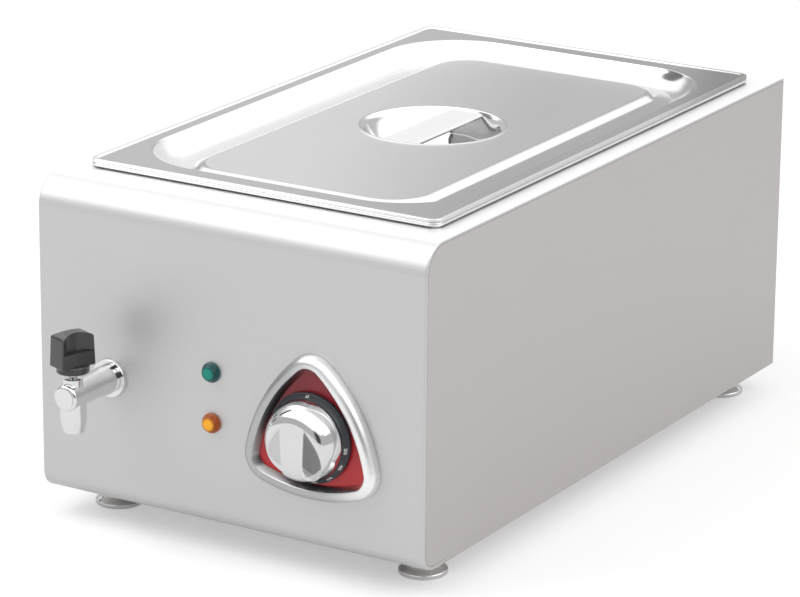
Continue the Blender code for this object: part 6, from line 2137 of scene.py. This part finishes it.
@dataclass
class PlainPieces(Assembly):
    """Pieces that keep their CAD shape and get their finish.

    Attributes:
        finishes: the finish of each node, by the start of its name.
    """

    finishes: dict[str, Finish] = field(default_factory=lambda: {
        "side_panel": SIDE_STEEL, "back_panel": SHEET_STEEL, "base_plate": SIDE_STEEL,
        "water_tank": TANK_STEEL, "drain_pipe": TANK_STEEL, "control_plate": RED, "tap_ball": CHROME,
        "heater_element": SHEATH, "sensor_bulb": COPPER, "terminal_block": PORCELAIN,
        "thermostat_body": PHENOLIC, "lamp_body": PHENOLIC, "overheat_cutout": PHENOLIC,
        "cable_gland": BLACK, "gland_nut": BLACK, "lead_live": BROWN_WIRE, "lead_heater": BROWN_WIRE,
        "lead_neutral": BLUE_WIRE, "lead_earth": GREEN_WIRE, "foot_nut": ZINC, "base_screw": ZINC,
        "clamp_bar": ZINC, "clamp_nut": ZINC, "bulb_clip": ZINC, "panel_screw": ZINC, "tap_lock_nut": ZINC,
        "thermostat_spindle": ZINC,
    })

    def build(self) -> None:
        """Put each finish in the material slots of its nodes."""
        for name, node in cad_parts.items():
            for start, finish in self.finishes.items():
                if name.startswith(start):
                    for place in node.material_slots:
                        place.material = finish.material()
                    LOG.info("%s: %s", name, finish.name)


# ---- studio


@dataclass
class Studio:
    """Pale floor, soft light and the camera at the photograph's angle.

    Attributes:
        eye: where the camera stands.
        aim: what it looks at.
        roll: how far it leans.
        focal_pixels: its focal length, in pixels of the picture.
        frame_pixels: the picture's width.
        sensor: the sensor's width, in millimetres.
        reach: how far it sees, in metres.
        ground: half of the floor's side.
        ground_shades: the floor's two colours.
        ground_lift: how much brighter the floor is for the camera, and for gloss.
        lights: name, place, size and power of each lamp.
        lamp_aim: the height that the lamps look at.
        glow: the brightness of the low sky for gloss, and how much the high sky adds.
        glow_span: where the high sky begins.
        patches: direction, span and strength of each darker patch.
        soft_level: the brightness of the world for soft surfaces.
    """

    eye: Point = (1625.45 * MM, -2427.88 * MM, 1150.38 * MM)
    aim: Point = (50.91 * MM, 175.41 * MM, 177.06 * MM)
    roll: float = math.radians(0.46614)
    focal_pixels: float = 3951.9
    frame_pixels: float = 800.0
    sensor: float = 36.0
    reach: float = 100.0
    ground: float = 12.0
    ground_shades: tuple[Colour, Colour] = ((0.80, 0.80, 0.80), (0.82, 0.82, 0.82))
    ground_lift: Pair = (0.36, 0.14)
    lights: tuple[tuple[str, Point, float, float], ...] = (
        ("key_left", (-1.6, -1.3, 2.4), 2.2, 34.0), ("fill_right", (2.2, 0.4, 2.2), 2.4, 22.0),
    )
    lamp_aim: float = 0.15
    glow: Pair = (0.55, 0.95)
    glow_span: Pair = (0.32, 0.52)
    patches: tuple[tuple[Point, Pair, float], ...] = (
        ((0.55, -0.80, 0.18), (0.925, 0.985), 0.85), ((-0.80, -0.04, 0.60), (0.962, 0.974), 0.85),
    )
    soft_level: float = 0.62

    def build(self) -> None:
        """Place the camera, the floor, the lamps and the world."""
        self.camera()
        self.floor()
        self.lamps()
        self.world()

    def camera(self) -> None:
        """A long lens from the right and above."""
        data = bpy.data.cameras.new("camera")
        data.sensor_width = self.sensor
        data.sensor_fit = "HORIZONTAL"
        data.lens = self.focal_pixels * self.sensor / self.frame_pixels
        data.clip_end = self.reach
        eye, aim = Vector(self.eye), Vector(self.aim)
        forward = (aim - eye).normalized()
        side = forward.cross(Vector((0, 0, 1))).normalized()
        rise = side.cross(forward)
        right = side * math.cos(self.roll) + rise * math.sin(self.roll)
        up = -side * math.sin(self.roll) + rise * math.cos(self.roll)
        turn = Matrix((right, up, -forward)).transposed().to_4x4()
        camera = bpy.data.objects.new("camera", data)
        camera.matrix_world = Matrix.Translation(eye + Vector((0, FRONT_Y, 0))) @ turn
        bpy.context.scene.collection.objects.link(camera)
        bpy.context.scene.camera = camera

    def floor(self) -> None:
        """A pale floor that keeps the shadow and renders white elsewhere."""
        bm = bmesh.new()
        bmesh.ops.create_grid(bm, x_segments=1, y_segments=1, size=self.ground)
        ground = bpy.data.objects.new("floor", to_mesh("floor", bm))
        made = bpy.data.materials.new("pale_floor")
        made.use_nodes = True
        graph = Graph(made.node_tree)
        shader = made.node_tree.nodes["Principled BSDF"]
        cloud = graph.noise(graph.place(), 3.0, 2.0)
        graph.feed(shader.inputs["Base Color"], graph.blend(cloud, *self.ground_shades))
        shader.inputs["Roughness"].default_value = 0.9
        shader.inputs["Specular IOR Level"].default_value = 0.1
        seen, glossy = self.rays(graph)
        strength = seen * self.ground_lift[0] + glossy * self.ground_lift[1]
        lift = graph.node("ShaderNodeEmission", None, {"Color": (1, 1, 1, 1), "Strength": strength})
        both = graph.node("ShaderNodeAddShader", None, {0: shader.outputs[0], 1: lift.outputs[0]})
        graph.feed(made.node_tree.nodes["Material Output"].inputs["Surface"], both.outputs[0])
        ground.data.materials.append(made)
        bpy.context.scene.collection.objects.link(ground)

    def lamps(self) -> None:
        """Two large soft lamps above, one to each side."""
        for name, place, size, power in self.lights:
            data = bpy.data.lights.new(name, "AREA")
            data.shape, data.size, data.energy = "SQUARE", size, power
            lamp = bpy.data.objects.new(name, data)
            lamp.location = place
            way = Vector((0, 0, self.lamp_aim)) - Vector(place)
            lamp.rotation_euler = way.to_track_quat("-Z", "Y").to_euler()
            bpy.context.scene.collection.objects.link(lamp)

    def world(self) -> None:
        """White for the camera, softer for the rest, with a few darker patches for gloss."""
        world = bpy.data.worlds.new("studio")
        world.use_nodes = True
        bpy.context.scene.world = world
        graph = Graph(world.node_tree)
        seen, glossy = self.rays(graph)
        direction = graph.node("ShaderNodeTexCoord").outputs["Generated"]
        rise = graph.value(graph.node("ShaderNodeSeparateXYZ", None, {"Vector": direction}), "Z")
        gloss = rise.ramp(*self.glow_span) * self.glow[1] + self.glow[0]
        for aim, span, strength in self.patches:
            gloss = gloss * (1.0 - self.toward(graph, direction, aim).ramp(*span) * strength)
        level = gloss * glossy + (1.0 - glossy) * self.soft_level
        background = world.node_tree.nodes["Background"]
        background.inputs["Color"].default_value = (1, 1, 1, 1)
        graph.feed(background.inputs["Strength"], seen + (1.0 - seen) * level)

    @staticmethod
    def rays(graph: Graph) -> tuple[Value, Value]:
        """Whether a ray comes from the camera or through glass, and whether it is glossy.

        Args:
            graph: the node tree.

        Returns:
            Both answers, 0 or 1.
        """
        rays = graph.node("ShaderNodeLightPath")
        seen = graph.value(rays, "Is Camera Ray").larger(graph.value(rays, "Is Transmission Ray"))
        return seen, graph.value(rays, "Is Glossy Ray")

    @staticmethod
    def toward(graph: Graph, direction: Socket, aim: Point) -> Value:
        """How nearly a ray points in one direction, 1 where it does.

        Args:
            graph: the world's node tree.
            direction: the ray's direction.
            aim: the direction that counts.

        Returns:
            The likeness of the two directions.
        """
        unit = tuple(Vector(aim).normalized())
        made = graph.node("ShaderNodeVectorMath", {"operation": "DOT_PRODUCT"}, {0: direction, 1: unit})
        return graph.value(made, "Value")


def main() -> None:
    """Build each sub-assembly in turn, then the studio round it."""
    bpy.context.scene.view_settings.view_transform = "Standard"
    for assembly in (Cabinet(), Pan(), Lid(), Feet(), Tap(), Control(), Lamps(), PlainPieces()):
        LOG.info("building %s", type(assembly).__name__)
        assembly.build()
    Studio().build()


if __name__ == "__main__":
    main()
